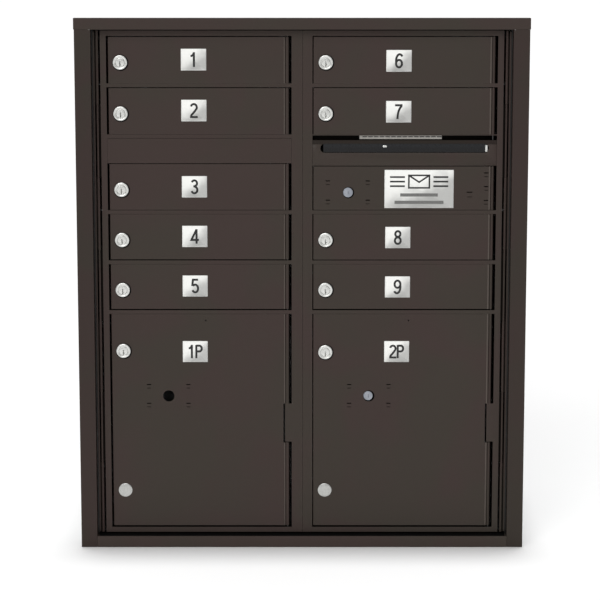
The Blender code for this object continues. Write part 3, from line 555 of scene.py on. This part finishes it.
def flap_plastic():
    """Smooth dark flap with faint dust streaks, painted lighter towards its top: painted light from
    above.
    """
    s = Shader("dark_flap_plastic")
    streak = s.spread(s.noise(30.0, 4.0, stretch=(0.3, 1.0, 3.0)), 0.45, 0.75, 0.0, 0.5)
    height = s.node("ShaderNodeSeparateXYZ")
    s.link(s.node("ShaderNodeTexCoord").outputs["Generated"], height.inputs[0])
    # painted light: the flap grows lighter towards its top
    painted_top_light = s.spread(height.outputs["Z"], 0.35, 0.85)
    dark = s.mix(streak, (0.0040, 0.0038, 0.0045), (0.0075, 0.0070, 0.0080))
    colour = s.mix(painted_top_light, dark, s.mix(streak, (0.0115, 0.0125, 0.0145), (0.017, 0.018, 0.020)))
    return s.finish(colour, s.spread(s.noise(200.0), 0.3, 0.7, 0.24, 0.34), 0.0,
                    s.bump(s.noise(1500.0), 0.08, 0.04), specular=0.3)


def dark_steel():
    """Dark passivated rod and bar."""
    s = Shader("dark_passivated_steel")
    tint = s.spread(s.noise(60.0, 3.0), 0.35, 0.7)
    colour = s.mix(tint, (0.055, 0.053, 0.050), (0.038, 0.040, 0.043))
    drawn = s.noise(1200.0, 2.0, stretch=(1.0, 1.0, 0.05))
    return s.finish(colour, s.spread(drawn, 0.3, 0.7, 0.35, 0.5), 0.9, s.bump(drawn, 0.15, 0.05))


def pale_floor():
    s = Shader("pale_studio_floor")
    tone = s.mix(s.noise(0.6, 2.0), (0.87, 0.87, 0.87), (0.89, 0.89, 0.89))
    return s.finish(tone, 0.7, 0.0, s.bump(s.noise(220.0, 3.0), 0.05, 0.2), specular=0.1)


COAT = powder_coat("dark_bronze_powder_coat")
# the side trims get a copy of the coat painted darker, painted shade, and the lower trim a copy
# painted lighter, painted light against the floor's shadow
SHADED_TRIM_COAT = powder_coat("dark_bronze_coat_painted_darker", 0.86)
LIT_SILL_COAT = powder_coat("dark_bronze_coat_painted_lighter", 1.12)
# the hinge's copy of the coat starts its painted crevice shade 2 mm behind the front plane, so that
# the hinge's front stays lit
HINGE_COAT = powder_coat("dark_bronze_hinge_coat", 1.0, 2.0)
SHEET = galvanised()
SHELL = galvanised(shaded_front=True)
NICKEL = nickel("satin_nickel_plate")
DULL_NICKEL = nickel("dull_nickel_plate", 0.72)
PLATE = brushed_plate()
INK = ink()
GREY_INK = grey_ink()
FLAP = flap_plastic()
STEEL = dark_steel()
LABEL = label_plastic()
SHADE_BLACK = rubber()
CASE = lock_case()


# --- carried-over nodes ---

def dress(node, material, edge=0.0):
    """Repaints a CAD node and rounds its edges without moving it."""
    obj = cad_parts[node]
    obj.data.materials.clear()
    obj.data.materials.append(material)
    weld = obj.modifiers.new("weld", "WELD")
    weld.merge_threshold = 0.00001
    flat = obj.modifiers.new("flat", "DECIMATE")
    flat.decimate_type = "DISSOLVE"
    flat.angle_limit = math.radians(1)
    if edge:
        add_bevel(obj, edge)


def dress_nodes():
    for node, finish in (("trim_top", COAT), ("trim_bottom", LIT_SILL_COAT), ("trim_left", SHADED_TRIM_COAT),
                         ("trim_right", SHADED_TRIM_COAT)):
        dress(node, finish, 0.2)
    for node in ("left_master_door", "right_master_door", "filler_panel"):
        dress(node, COAT, 0.15)
    for node in ("left_cabinet_hinge", "right_cabinet_hinge"):
        dress(node, HINGE_COAT, 0.15)
    dress("cabinet_shell", SHELL, 0.3)
    for node in ("back_panel", "center_partition", "left_shelf_rack", "right_shelf_rack"):
        dress(node, SHEET, 0.25)
    for node in ("latch_lever", "upper_latch_rod", "lower_latch_rod", "left_slide_bolt"):
        dress(node, STEEL, 0.2)


def sill_gasket():
    """A black strip on the lower trim's ledge, under the master doors: painted shade on the ledge."""
    high = node_box("trim_bottom")[1]
    end = high.x - 3.0
    section = [(-15.5, high.z + 0.05), (-15.5, high.z + 0.7), (-14.9, high.z + 1.0),
               (-1.6, high.z + 1.0), (-1.0, high.z + 0.7), (-1.0, high.z + 0.05)]
    strip = loft("sill_gasket", [[(x, depth, z) for depth, z in section] for x in (-end, end)])
    settle(strip, "cabinet", SHADE_BLACK)


def corner_gussets():
    """Plates inside the trim that join its upper corners."""
    low, high = node_box("trim_right")
    size = (high.x - low.x - 6.0, 30.0)
    for side, name in ((-1, "left"), (1, "right")):
        centre = (side * (low.x + high.x) / 2, high.z + 1.0)
        gusset = rounded_slab("corner_gusset_" + name, centre, size, 3.0,
                              [(0.0, -13.8), (0.0, -15.0), (0.3, -15.4)])
        settle(gusset, "cabinet", SHADED_TRIM_COAT)


def rivet_heads(name, spots, facing):
    """Domed rivet heads on the cabinet's outside, as one piece; facing is -1, 0 or 1.

    A head at (x, depth, z) stands out along x for -1 and 1, and backwards for 0.
    """
    bm = bmesh.new()
    for x, depth, z in spots:
        rings = []
        for radius, rise in RIVET_PROFILE:
            circle = arc((0.0, 0.0), radius, 0.0, 360.0, 20)[:-1]
            if facing:
                rings.append([(x + facing * rise, depth + u, z + v) for u, v in circle])
            else:
                rings.append([(x + u, depth + rise * BACK_RIVET_FLATNESS, z + v) for u, v in circle])
        add_loft(bm, rings)
    settle(make_object(name, bm), "cabinet", DULL_NICKEL)


def cabinet_rivets():
    """Rivets that hold the racks to the cabinet's sides and the back panel to its edges."""
    low, high = node_box("cabinet_shell")
    rows = [high.z - RIVET_MARGIN - i * RIVET_PITCH for i in range(RIVET_ROWS)]
    rows.append(low.z + RIVET_MARGIN)
    depths = (RIVET_SET_IN[0], high.y / 2, high.y - RIVET_SET_IN[1])
    for side, name in ((-1, "left"), (1, "right")):
        face = side * (high.x + 0.02)
        rivet_heads("cabinet_rivets_" + name, [(face, y, z) for y in depths for z in rows], side)
    back = node_box("back_panel")[1]
    columns = (-back.x + RIVET_MARGIN, -back.x / 2, 0.0, back.x / 2, back.x - RIVET_MARGIN)
    edges = [(x, back.y + 0.02, z) for x in columns for z in (rows[0], rows[-1])]
    edges += [(x, back.y + 0.02, z) for x in (columns[0], 0.0, columns[-1]) for z in rows[1:-1]]
    rivet_heads("cabinet_rivets_back", edges, 0)


# --- doors ---

def hinge_spot(column):
    """The (x, depth) of a column's hinge rod."""
    centre = node_centre(column + "_door_rod")
    return centre.x, centre.y


def door_outline(column, left, flange, hinge, knuckle):
    """The level section of a door: folded left edge, face, rib, fold line and rolled knuckle."""
    hx, hy = hinge
    inner = hy - DOOR_SHEET
    stop = hx - FLANGE_STOP
    rib = hx - RIB_CENTRE[column]
    half = RIB_HALF[column]
    rib_radius = (half ** 2 + RIB_RISE ** 2) / (2 * RIB_RISE)
    rib_angle = math.degrees(math.asin(half / rib_radius))
    fold = hx - FOLD_LINE[column]
    points = [(left, flange)]
    points += arc((left + DOOR_FOLD, DOOR_FOLD), DOOR_FOLD, 180, 270, 6)
    points += arc((rib, rib_radius - RIB_RISE), rib_radius, 270 - rib_angle, 270 + rib_angle, 8)
    points += [(fold - FOLD_LINE_HALF, 0.0), (fold, FOLD_LINE_DEPTH), (fold + FOLD_LINE_HALF, 0.0)]
    points += arc((hx, hy), knuckle, -90, 190, 30)
    points += arc((hx, hy), inner, 190, -90, 24)
    points += [(stop, DOOR_SHEET), (stop, flange)]
    return points


def outline_prism(name, outline, zs, round_edge):
    """Raises an (x, depth) outline from zs[0] to zs[1] and rounds its front rims."""
    bm = bmesh.new()
    add_loft(bm, [[(x, depth, z) for x, depth in outline] for z in zs])
    face_line = FRONT + DOOR_FOLD * 0.6 * MM
    rims = [edge for edge in bm.edges
            if abs(edge.verts[0].co.z - edge.verts[1].co.z) < 1e-7
            and all(vert.co.y < face_line for vert in edge.verts)]
    bmesh.ops.bevel(bm, geom=rims, offset=round_edge * MM, segments=2, profile=0.5,
                    affect="EDGES", clamp_overlap=True)
    return make_object(name, bm)


def hole_cutter(x, z, radius, rim=0.3):
    """A round cutter whose mouth flares, so that the hole gets a small chamfer."""
    profile = [(0.0, 30.0), (radius, 30.0), (radius, rim), (radius + rim, 0.0),
               (radius + rim + 2.0, -2.0), (0.0, -2.0)]
    return turned("hole", (x, z), profile, 48)


def sheet_door(name, node, body, column, hang=0.0, foot=0.0, brow=0.0):
    """A sheet-metal door with all its bends, which stands for a CAD door.

    hang moves it up, foot raises its lower edge and brow lowers its upper edge.
    """
    low, high = node_box(node)
    hinge = hinge_spot(column)
    outline = door_outline(column, low.x, high.y, hinge, high.x - hinge[0])
    zs = (low.z + hang + foot, high.z + hang - brow)
    door = outline_prism(name, outline, zs, DOOR_EDGE)
    pocket_xs = (low.x + DOOR_SHEET, hinge[0] - FLANGE_STOP + 2.0)
    pocket_zs = (zs[0] + DOOR_SHEET, zs[1] - DOOR_SHEET)
    cut(door, slab("pocket", pocket_xs, (DOOR_SHEET + 0.05, high.y + 5.0), pocket_zs))
    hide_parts(node)
    return settle(door, body, COAT)


def cut_lock_hole(door, lock):
    centre = node_centre(lock)
    cut(door, hole_cutter(centre.x, centre.z, BARREL_RADIUS + 0.3))


def weld_marks(door, spots, scale=1.0):
    """Each weld behind the sheet leaves two shallow creases in its face, one above the other."""
    for x, z in spots:
        for rise, width, height, depth in MARK_CREASES:
            size = (width * scale, height)
            cut(door, rounded_slab("mark", (x, z + rise * scale), size, height / 2 - 0.05,
                                   [(0.35, depth), (0.0, 0.0), (0.0, -2.0)]))


def lock_plate_marks(keyhole):
    """The four welds round a keyhole, which hold the lock's bracket."""
    return [(keyhole[0] + sx * MARK_SPREAD[0], keyhole[1] + sz * MARK_SPREAD[1])
            for sx in (-1, 1) for sz in (-1, 1)]


# --- locks ---

def lock(suffix, door_body, lock_body):
    """A cam lock: a threaded barrel with its nut, a black ring of painted shadow behind its face, and
    a plug with a cam.
    """
    low, high = node_box("lock_body_" + suffix)
    spot = ((low.x + high.x) / 2, (low.z + high.z) / 2)
    lock_barrel(suffix, spot, low.y, high.y, door_body)
    lock_washer(suffix, spot, door_body)
    lock_nut(suffix, spot, door_body)
    lock_plug(suffix, spot, low.y, lock_body)


def lock_barrel(suffix, spot, face, end, door_body):
    """The threaded barrel, from its dished face back to its end."""
    bore = PLUG_RADIUS + 0.15
    thread = []
    depth = end - 0.8
    while depth > THREAD_START:
        thread += [(BARREL_RADIUS, depth),
                   (BARREL_RADIUS - THREAD_DEPTH, depth - THREAD_PITCH / 2)]
        depth -= THREAD_PITCH
    profile = [(bore, end), (BARREL_RADIUS - 0.6, end)] + thread
    profile += [(BARREL_RADIUS, 6.0), (BARREL_RADIUS, -0.3), (LOCK_RADIUS, -0.3),
                (LOCK_RADIUS, face + 1.0), (LOCK_RADIUS - 0.25, face + 0.45),
                (LOCK_RADIUS - 0.8, face + 0.1), (LOCK_RADIUS - 1.4, face),
                (LOCK_RADIUS - 2.0, face), (LOCK_RADIUS - 2.6, face + 0.35),
                (bore + 0.4, face + 0.35), (bore, face + 0.6)]
    barrel = turned("lock_face_" + suffix, spot, profile, 72)
    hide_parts("lock_body_" + suffix)
    settle(barrel, door_body, NICKEL)


def lock_washer(suffix, spot, door_body):
    """A thin black ring between the lock's face and the door, set low and right: a painted shadow."""
    inner = BARREL_RADIUS + 1.2
    shadow_ring = turned("lock_washer_" + suffix, (spot[0] + SHADOW_RING_OFFSET, spot[1] - SHADOW_RING_OFFSET),
                    [(inner, -0.05), (SHADOW_RING_RADIUS, -0.05), (SHADOW_RING_RADIUS, -0.2),
                     (SHADOW_RING_RADIUS - 0.2, -0.26), (inner, -0.26)], 48)
    settle(shadow_ring, door_body, SHADE_BLACK)


def lock_nut(suffix, spot, door_body):
    """The hexagonal nut behind the door."""
    hexagon = arc(spot, NUT_RADIUS, 0.0, 360.0, 6)[:-1]
    nut = loft("lock_nut_" + suffix, [[(x, depth, z) for x, z in hexagon] for depth in NUT_DEPTHS])
    bore = BARREL_RADIUS + 0.1
    cut(nut, turned("nut_bore", spot, [(0.0, 9.0), (bore, 9.0), (bore, -2.0), (0.0, -2.0)], 48))
    add_bevel(nut, 0.5)
    settle(nut, door_body, NICKEL)


def lock_plug(suffix, spot, face, lock_body):
    """The turning plug with its keyway, and the cam on its tail."""
    x, z = spot
    low, high = node_box("lock_cam_" + suffix)
    tail = high.y
    cam_front, cam_back = tail - 3.0, tail - 1.0
    profile = [(0.0, tail), (3.6, tail), (4.0, tail - 0.4), (4.0, cam_back + 0.05),
               (PLUG_RADIUS, cam_back + 0.05), (PLUG_RADIUS, face + 0.75),
               (PLUG_RADIUS - 0.35, face + 0.35), (PLUG_RADIUS - 1.3, face + 0.15), (0.0, face + 0.15)]
    plug = turned("lock_plug_" + suffix, spot, profile, 64)
    cut(plug, rounded_slab("keyway", (x, z - KEYWAY_DROP), KEYWAY_SIZE, 0.95,
                           [(0.0, 9.0), (0.0, -9.0)]))
    cut(plug, slab("ward", (x + 0.2, x + 1.9), (-9.0, 8.8), (z - 4.6, z - 3.2)))
    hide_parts("lock_cam_" + suffix)
    settle(plug, lock_body, NICKEL)
    outline = arc(spot, CAM_SHOULDER, 35, 145, 10) + arc((x, low.z + CAM_TIP), CAM_TIP, 180, 360, 14)
    cam = loft("lock_cam_blade_" + suffix,
               [[(px, depth, pz) for px, pz in outline] for depth in (cam_back, cam_front)])
    add_bevel(cam, 0.3)
    settle(cam, lock_body, NICKEL)


def hole_plug(suffix, body):
    """The domed plug in a parcel door's spare lock hole."""
    node = "hole_plug_" + suffix
    low, high = node_box(node)
    centre = node_centre(node)
    rim = (high.x - low.x) / 2
    dome = [(rim * math.cos(a), low.y + 0.75 * (1 - math.sin(a)))
            for a in (math.radians(15 * step) for step in range(1, 6))]
    profile = [(0.0, high.y), (BARREL_RADIUS - 1.5, high.y), (BARREL_RADIUS, high.y - 1.5),
               (BARREL_RADIUS, -0.3), (rim, -0.3), (rim, low.y + 0.75)] + dome + [(0.0, low.y)]
    plug = turned("parcel_hole_plug_" + suffix, (centre.x, centre.z), profile, 64)
    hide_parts(node)
    settle(plug, body, DULL_NICKEL)


def postal_lock(name, node, body, shift, radius):
    """The carrier's lock: a cast case behind the door, with a domed face at the keyhole and a black
    ring of painted shade round the face.

    shift and radius place the face in the keyhole, off the middle of the case.
    """
    low, high = node_box(node)
    boss_front = low.y
    case_front = boss_front + POSTAL_CASE_SETBACK
    centre = ((low.x + high.x) / 2, (low.z + high.z) / 2)
    case = rounded_slab(name + "_case", centre, (high.x - low.x, high.z - low.z), 3.0,
                        [(1.2, high.y), (0.0, high.y - 1.2), (0.0, case_front + 1.0),
                         (1.0, case_front)])
    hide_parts(node)
    settle(case, body, CASE)
    spot = (centre[0] + shift, centre[1])
    # a black ring on the case round the face: painted shade inside the keyhole
    shade_ring_back, shade_ring_front = case_front - 0.1, case_front - 0.6
    shade_ring = turned(name + "_seal", spot,
                  [(radius - 0.5, shade_ring_back), (POSTAL_SHADE_RING_RADIUS, shade_ring_back),
                   (POSTAL_SHADE_RING_RADIUS, shade_ring_front), (radius - 0.5, shade_ring_front)])
    settle(shade_ring, body, SHADE_BLACK)
    profile = [(0.0, case_front + 0.5), (radius, case_front + 0.5), (radius, boss_front + 0.8),
               (radius - 0.3, boss_front + 0.3), (radius - 1.4, boss_front + 0.05),
               (radius - 4.0, boss_front), (0.0, boss_front)]
    boss = turned(name + "_face", spot, profile, 48)
    cut(boss, rounded_slab("slit", (spot[0] + 1.0, spot[1]), (1.4, 6.0), 0.65,
                           [(0.0, boss_front + 1.6), (0.0, boss_front - 3.0)]))
    settle(boss, body, CASE)


# --- plates and figures ---

def stroke_path(points, width):
    """The closed outline of a stroke of the given width along a line of (x, z) points."""
    left, right = [], []
    for index, point in enumerate(points):
        before = Vector(points[max(index - 1, 0)])
        after = Vector(points[min(index + 1, len(points) - 1)])
        here = Vector(point)
        first = (here - before).normalized() if (here - before).length > 1e-6 else None
        second = (after - here).normalized() if (after - here).length > 1e-6 else None
        run = ((first or second) + (second or first)).normalized()
        side = Vector((-run.y, run.x))
        turn = max(run.dot(first or second), 0.5)
        left.append(here + side * width / 2 / turn)
        right.append(here - side * width / 2 / turn)
    return [tuple(p) for p in left + right[::-1]]


def figure_strokes(figure):
    """Centre lines of one figure, 1 high, with x measured from its middle."""
    half = 0.20  # half the figure's width between stroke centres
    edge = 0.06  # half a stroke
    top, low = 1.0 - edge, edge
    if figure == "1":
        return [[(0.03, 0.0), (0.03, 1.0)], ellipse((-0.20, 0.98), (0.22, 0.24), 270, 350, 8)]
    if figure == "2":
        bowl = ellipse((0.0, 0.72), (half, top - 0.72), 165, -25)
        return [bowl + [(0.02, 0.40), (-0.16, 0.20), (-0.20, low)],
                [(-half - edge, low), (half + edge, low)]]
    if figure == "3":
        upper = ellipse((0.0, 0.745), (half - 0.02, top - 0.745), 160, -80)
        lower = ellipse((0.0, 0.285), (half, 0.285 - low), 82, -160)
        return [upper, lower, [(-0.07, 0.53), (0.03, 0.53)]]
    if figure == "4":
        return [[(half + edge + 0.02, 0.26), (-half - 0.03, 0.26), (0.12, 0.98)],
                [(0.12, 1.0), (0.12, 0.0)]]
    if figure == "5":
        bowl = ellipse((0.0, 0.33), (half, 0.33 - low), 140, -155)
        return [[(half, top), (-half + 0.05, top), (-half, 0.50)], bowl]
    if figure in "69":
        ring = ellipse((0.0, 0.31), (half, 0.31 - low), 0, 360, 28)
        back = ellipse((0.04, 0.50), (half + 0.04, top - 0.50), 200, 42)
        strokes = [ring, back]
        if figure == "9":
            strokes = [[(-x, 1.0 - z) for x, z in line] for line in strokes]
        return strokes
    if figure == "7":
        slope = ellipse((0.34, 0.0), (0.42, 0.93), 108, 180, 10)
        return [[(-half - edge + 0.01, top), (half + edge, top)], slope]
    if figure == "8":
        return [ellipse((0.0, 0.745), (half - 0.025, top - 0.745), 0, 360, 28),
                ellipse((0.0, 0.285), (half, 0.285 - low), 0, 360, 28)]
    bowl = ellipse((0.02, 0.725), (half - 0.02, top - 0.725), 90, -90)
    return [[(-half, 0.0), (-half, 1.0)], [(-half, top)] + bowl + [(-half, 0.51)]]


def draw_strokes(name, strokes, surface, body, material, width=STROKE):
    """Raised ribbons along lines of (x, z) points, each a hair higher than the one before."""
    for index, points in enumerate(strokes):
        outline = stroke_path(points, width)
        front = surface - 0.12 - 0.02 * index
        piece = f"{name}_{index}" if len(strokes) > 1 else name
        rings = [[(x, depth, z) for x, z in outline] for depth in (surface + 0.05, front)]
        settle(loft(piece, rings), body, material)


def write_figures(label, x, z, surface, body):
    """Stroke-drawn figures centred on x and z."""
    advance = 0.56 if len(label) > 1 else 0.0
    height = CAP_HEIGHT * (0.94 if len(label) > 1 else 1.0)
    for index, figure in enumerate(label):
        middle = x + (index - (len(label) - 1) / 2) * advance * height
        strokes = [[(middle + px * height, z + (pz - 0.5) * height) for px, pz in line]
                   for line in figure_strokes(figure)]
        draw_strokes(f"figure_{label}_{index}", strokes, surface, body, INK)


def silver_plate(name, centre, size, body):
    """A thin plate with a rolled rim round a slightly sunk panel."""
    plate = rounded_slab(name, centre, size, 0.9,
                         [(0.0, -0.04), (0.0, -PLATE_RISE + 0.35), (0.35, -PLATE_RISE),
                          (1.1, -PLATE_RISE), (1.6, PLATE_PANEL)])
    return settle(plate, body, PLATE)


def number_plate(label, x, z, body):
    z += PLATE_SHIFT[label]
    silver_plate("number_plate_" + label, (x, z), PLATE_SIZE, body)
    write_figures(label, x, z, PLATE_PANEL, body)


def stretch(line, amount):
    """A straight stroke made longer at both ends."""
    first, last = Vector(line[0]), Vector(line[1])
    run = (last - first).normalized() * amount
    return [tuple(first - run), tuple(last + run)]


def envelope_strokes(x, z):
    """An envelope with its flap, centred on x and z."""
    half_x, half_z = 18.0, 11.0
    corners = [(x - half_x, z - half_z), (x + half_x, z - half_z),
               (x + half_x, z + half_z), (x - half_x, z + half_z)]
    sides = [stretch([corners[i], corners[(i + 1) % 4]], 1.4) for i in range(4)]
    return sides + [[corners[3], (x, z - 1.0), corners[2]]]


def carrier_plate(x, z, body):
    """The carrier's plate: an envelope between bars, over two plain lines."""
    silver_plate("carrier_plate", (x, z), CARRIER_PLATE_SIZE, body)
    middle = z + 13.0
    draw_strokes("carrier_envelope", envelope_strokes(x, middle), PLATE_PANEL, body, INK, 2.8)
    bars = [[(x + side * 25.0, middle + rise), (x + side * 51.0, middle + rise)]
            for side in (-1, 1) for rise in (-8.0, 0.0, 8.0)]
    draw_strokes("carrier_bar", bars, PLATE_PANEL, body, INK, 3.0)
    lines = [[(x - reach, z - drop), (x + reach, z - drop)]
             for reach, drop in ((33.0, 10.5), (43.0, 23.5))]
    draw_strokes("carrier_line", lines, PLATE_PANEL, body, GREY_INK, 5.6)


# --- mail slot ---

def stadium_ring(centre, half_length, radius, grow, depth):
    """One ring of a bar with round ends, grown outwards by grow."""
    x, z = centre
    reach = half_length - radius
    size = radius + grow
    outline = arc((x + reach, z), size, -90, 90, 24) + arc((x - reach, z), size, 90, 270, 24)
    return [(px, depth, pz) for px, pz in outline]


def slot_hood(low, high, face_top):
    """The slot panel's sheet, with the recess over its face and a stepped lip."""
    past = 5.0  # the cutters reach this far past the sheet
    xs = (low.x - past, high.x + past)
    hood = slab("mail_slot_panel", (low.x, high.x), (0.0, high.y), (low.z, high.z))
    cut(hood, slab("behind", xs, (DOOR_SHEET, high.y + past),
                   (low.z - past, face_top - DOOR_SHEET)))
    cut(hood, slab("recess", xs, (-past, high.y - DOOR_SHEET), (face_top, high.z + past)))
    cut(hood, slab("rod_side", (high.x - 10.0, high.x + past), (DOOR_SHEET, high.y + past),
                   (low.z - past, high.z + past)))
    # the lip's setback lets the coat's painted crevice shade darken it
    cut(hood, slab("lip", xs, (-past, LIP_SETBACK), (face_top - LIP_HEIGHT, face_top + past)))
    add_bevel(hood, 0.3)
    apply_modifiers(hood)
    return hood


def slot_strip(x, z, body):
    """The label strip in the recess, with a row of plain dashes."""
    strip = rounded_slab("slot_strip", (x + STRIP_SHIFT[0], z + STRIP_SHIFT[1]), STRIP_SIZE, 0.5,
                         [(0.0, STRIP_FRONT + 0.9), (0.0, STRIP_FRONT + 0.3), (0.3, STRIP_FRONT)])
    settle(strip, body, LABEL)
    starts = [x + DASH_START[0] + DASH_PITCH * index for index in range(DASH_COUNT)]
    height = z + DASH_START[1]
    marks = [[(start, height), (start + DASH_LENGTH, height)] for start in starts]
    draw_strokes("slot_strip_mark", marks, STRIP_FRONT, body, INK, 1.7)


def mail_slot(body):
    """The slot panel: a face with a flared slot, under a recess that holds a label strip."""
    low, high = node_box("mail_slot_hood")
    centre = (node_centre("slot_flap").x, high.z - SLOT_DROP)
    face_top = high.z - RECESS_HEIGHT
    hood = slot_hood(low, high, face_top)
    rings = [stadium_ring(centre, SLOT_HALF_LENGTH, SLOT_RADIUS, grow, depth)
             for grow, depth in ((0.0, 5.0), (0.0, 0.6), (0.2, 0.2), (0.6, 0.0), (2.6, -2.0))]
    cut(hood, loft("slot", rings))
    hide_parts("mail_slot_hood")
    settle(hood, body, COAT)
    slot_strip(centre[0], (face_top + high.z) / 2, body)
    return centre


def slot_flap(centre):
    """The flap, a sheet rolled at its top and curled at its foot, with a rivet."""
    low, high = node_box("slot_flap")
    roll = 2.0
    section = arc((4.6, high.z - roll), roll, 180, -120, 16)
    section += arc((high.y - 3.4, low.z + 2.2), 0.8, 0, -180, 6)
    section += [(low.y + 0.55, low.z + 3.0)]
    flap = loft("slot_flap_sheet",
                [[(centre[0] + end, depth, z) for depth, z in section] for end in FLAP_ENDS])
    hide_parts("slot_flap")
    settle(flap, "slot_flap", FLAP)
    face = low.y + 0.45
    spot = (centre[0] + RIVET_SHIFT[0], centre[1] + RIVET_SHIFT[1])
    rivet = rounded_slab("slot_flap_rivet", spot, (7.8, 4.0), 1.95,
                         [(0.3, face + 0.4), (0.0, face), (0.15, face - 0.25), (0.6, face - 0.5),
                          (1.3, face - 0.65)])
    settle(rivet, "slot_flap", NICKEL)


def slot_clip(centre, body):
    """The bright spring clip at the slot's right end."""
    spot = (centre[0] + CLIP_SHIFT[0], centre[1] + CLIP_SHIFT[1])
    clip = rounded_slab("slot_end_clip", spot, (4.2, 12.6), 1.2,
                        [(0.0, 3.2), (0.0, 2.4), (0.5, 2.0)])
    settle(clip, body, NICKEL)


# --- rods ---

def door_rod(column):
    """A column's hinge rod with chamfered ends."""
    node = column + "_door_rod"
    low, high = node_box(node)
    centre = node_centre(node)
    radius = (high.x - low.x) / 2
    rings = []
    for size, z in ((radius - 0.4, low.z), (radius, low.z + 0.6), (radius, high.z - 0.6),
                    (radius - 0.4, high.z)):
        rings.append([(x, depth, z) for x, depth in arc((centre.x, centre.y), size, 0, 360, 24)[:-1]])
    rod = loft(column + "_hinge_rod", rings)
    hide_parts(node)
    settle(rod, column + "_master", STEEL)


# --- the whole unit ---

def build_doors():
    for number in range(1, 10):
        label = str(number)
        column = "left" if number < 6 else "right"
        body = "tenant_" + label
        node = "tenant_door_" + label
        trims = [table.get(label, 0.0) for table in (HANG, FOOT, BROW)]
        door = sheet_door("letter_box_door_" + label, node, body, column, *trims)
        cut_lock_hole(door, "lock_body_" + label)
        lock(label, body, "lock_" + label)
        plate_x = node_centre("lock_body_" + label).x + PLATE_FROM_LOCK[column]
        row_top = node_box(node)[1].z + ROW_OVER_DOOR
        number_plate(label, plate_x, row_top - PLATE_DROP, body)


def build_parcel_doors():
    for index, column in ((1, "left"), (2, "right")):
        suffix = f"p{index}"
        body = f"parcel_{index}"
        node = "parcel_door_" + suffix
        top = node_box(node)[1].z
        lock_spot = node_centre("lock_body_" + suffix)
        door = sheet_door("parcel_door_panel_" + suffix, node, body, column,
                          PARCEL_HANG, PARCEL_FOOT)
        cut_lock_hole(door, "lock_body_" + suffix)
        cut_lock_hole(door, "hole_plug_" + suffix)
        hinge_x = hinge_spot(column)[0]
        tab_xs = [hinge_x + offset for offset in TAB_GAP_WIDTH]
        cut(door, slab("tab_gap", tab_xs, (-5.0, 12.0), [top - drop for drop in TAB_GAP]))
        keyhole = (lock_spot.x + KEYHOLE_FROM_LOCK[column], top - KEYHOLE_DROP)
        cut(door, hole_cutter(*keyhole, KEYHOLE_RADIUS))
        peep = (lock_spot.x + PEEP_FROM_LOCK[column], top - PEEP_DROP)
        cut(door, hole_cutter(*peep, PEEP_RADIUS, 0.1))
        weld_marks(door, lock_plate_marks(keyhole))
        lock(suffix, body, "lock_" + suffix)
        hole_plug(suffix, body)
        plate_x = lock_spot.x + PLATE_FROM_LOCK[column] + PARCEL_PLATE_SHIFT
        number_plate(f"{index}P", plate_x, top + ROW_OVER_DOOR - PARCEL_PLATE_DROP, body)
    postal_lock("parcel_postal_lock", "postal_lock_p2", "parcel_2", *PARCEL_FACE)


def build_carrier_door():
    body = "carrier"
    keyhole = node_centre("postal_lock_carrier")
    door = sheet_door("carrier_door_panel", "carrier_door", body, "right")
    cut(door, hole_cutter(keyhole.x + CARRIER_HOLE_SHIFT, keyhole.z, KEYHOLE_RADIUS))
    postal_lock("carrier_postal_lock", "postal_lock_carrier", body, *CARRIER_FACE)
    plate_x, plate_z = CARRIER_PLATE_FROM_KEYHOLE
    carrier_plate(keyhole.x + plate_x, keyhole.z + plate_z, body)
    column_x = keyhole.x + CARRIER_MARKS_FROM_KEYHOLE
    spots = [(column_x, keyhole.z + rise) for rise in CARRIER_MARK_RISES]
    weld_marks(door, lock_plate_marks((keyhole.x, keyhole.z)) + spots)
    wide_x, wide_z = WIDE_MARK_OFFSET
    weld_marks(door, [(column_x + wide_x, keyhole.z + wide_z)], 1.3)


dress_nodes()
sill_gasket()
corner_gussets()
cabinet_rivets()
for side in ("left", "right"):
    door_rod(side)
build_doors()
build_parcel_doors()
build_carrier_door()
slot_centre = mail_slot("right_master")
slot_flap(slot_centre)
slot_clip(slot_centre, "right_master")


# --- studio ---

def floor_and_lights():
    bm = bmesh.new()
    bmesh.ops.create_grid(bm, x_segments=1, y_segments=1, size=40.0)
    floor = make_object("studio_floor", bm)
    floor.location.z = -0.0005
    floor.data.materials.append(pale_floor())

    world = bpy.data.worlds.new("studio")
    world.use_nodes = True
    sky = world.node_tree.nodes["Background"]
    sky.inputs["Color"].default_value = (1.0, 1.0, 1.0, 1.0)
    sky.inputs["Strength"].default_value = SKY_STRENGTH
    bpy.context.scene.world = world
    for sun in SUNS:
        add_sun(*sun)


def add_sun(name, location, strength, width):
    """A soft sun that shines from its location towards the origin; its width is in degrees."""
    data = bpy.data.lights.new(name, "SUN")
    data.energy = strength
    data.angle = math.radians(width)
    light = bpy.data.objects.new(name, data)
    light.location = location
    light.rotation_euler = (-Vector(location)).to_track_quat("-Z", "Y").to_euler()
    bpy.context.scene.collection.objects.link(light)


def add_camera():
    """The camera stands 3.9 m off the doors and looks down a little."""
    data = bpy.data.cameras.new("camera")
    data.sensor_width = 36.0
    data.lens = CAMERA_LENS
    camera = bpy.data.objects.new("camera", data)
    camera.location = place(*CAMERA_SPOT)
    camera.rotation_euler = (math.radians(90.0 - CAMERA_TILT), 0.0, 0.0)
    bpy.context.scene.collection.objects.link(camera)
    bpy.context.scene.camera = camera


floor_and_lights()
add_camera()
bpy.context.scene.view_settings.view_transform = "Standard"
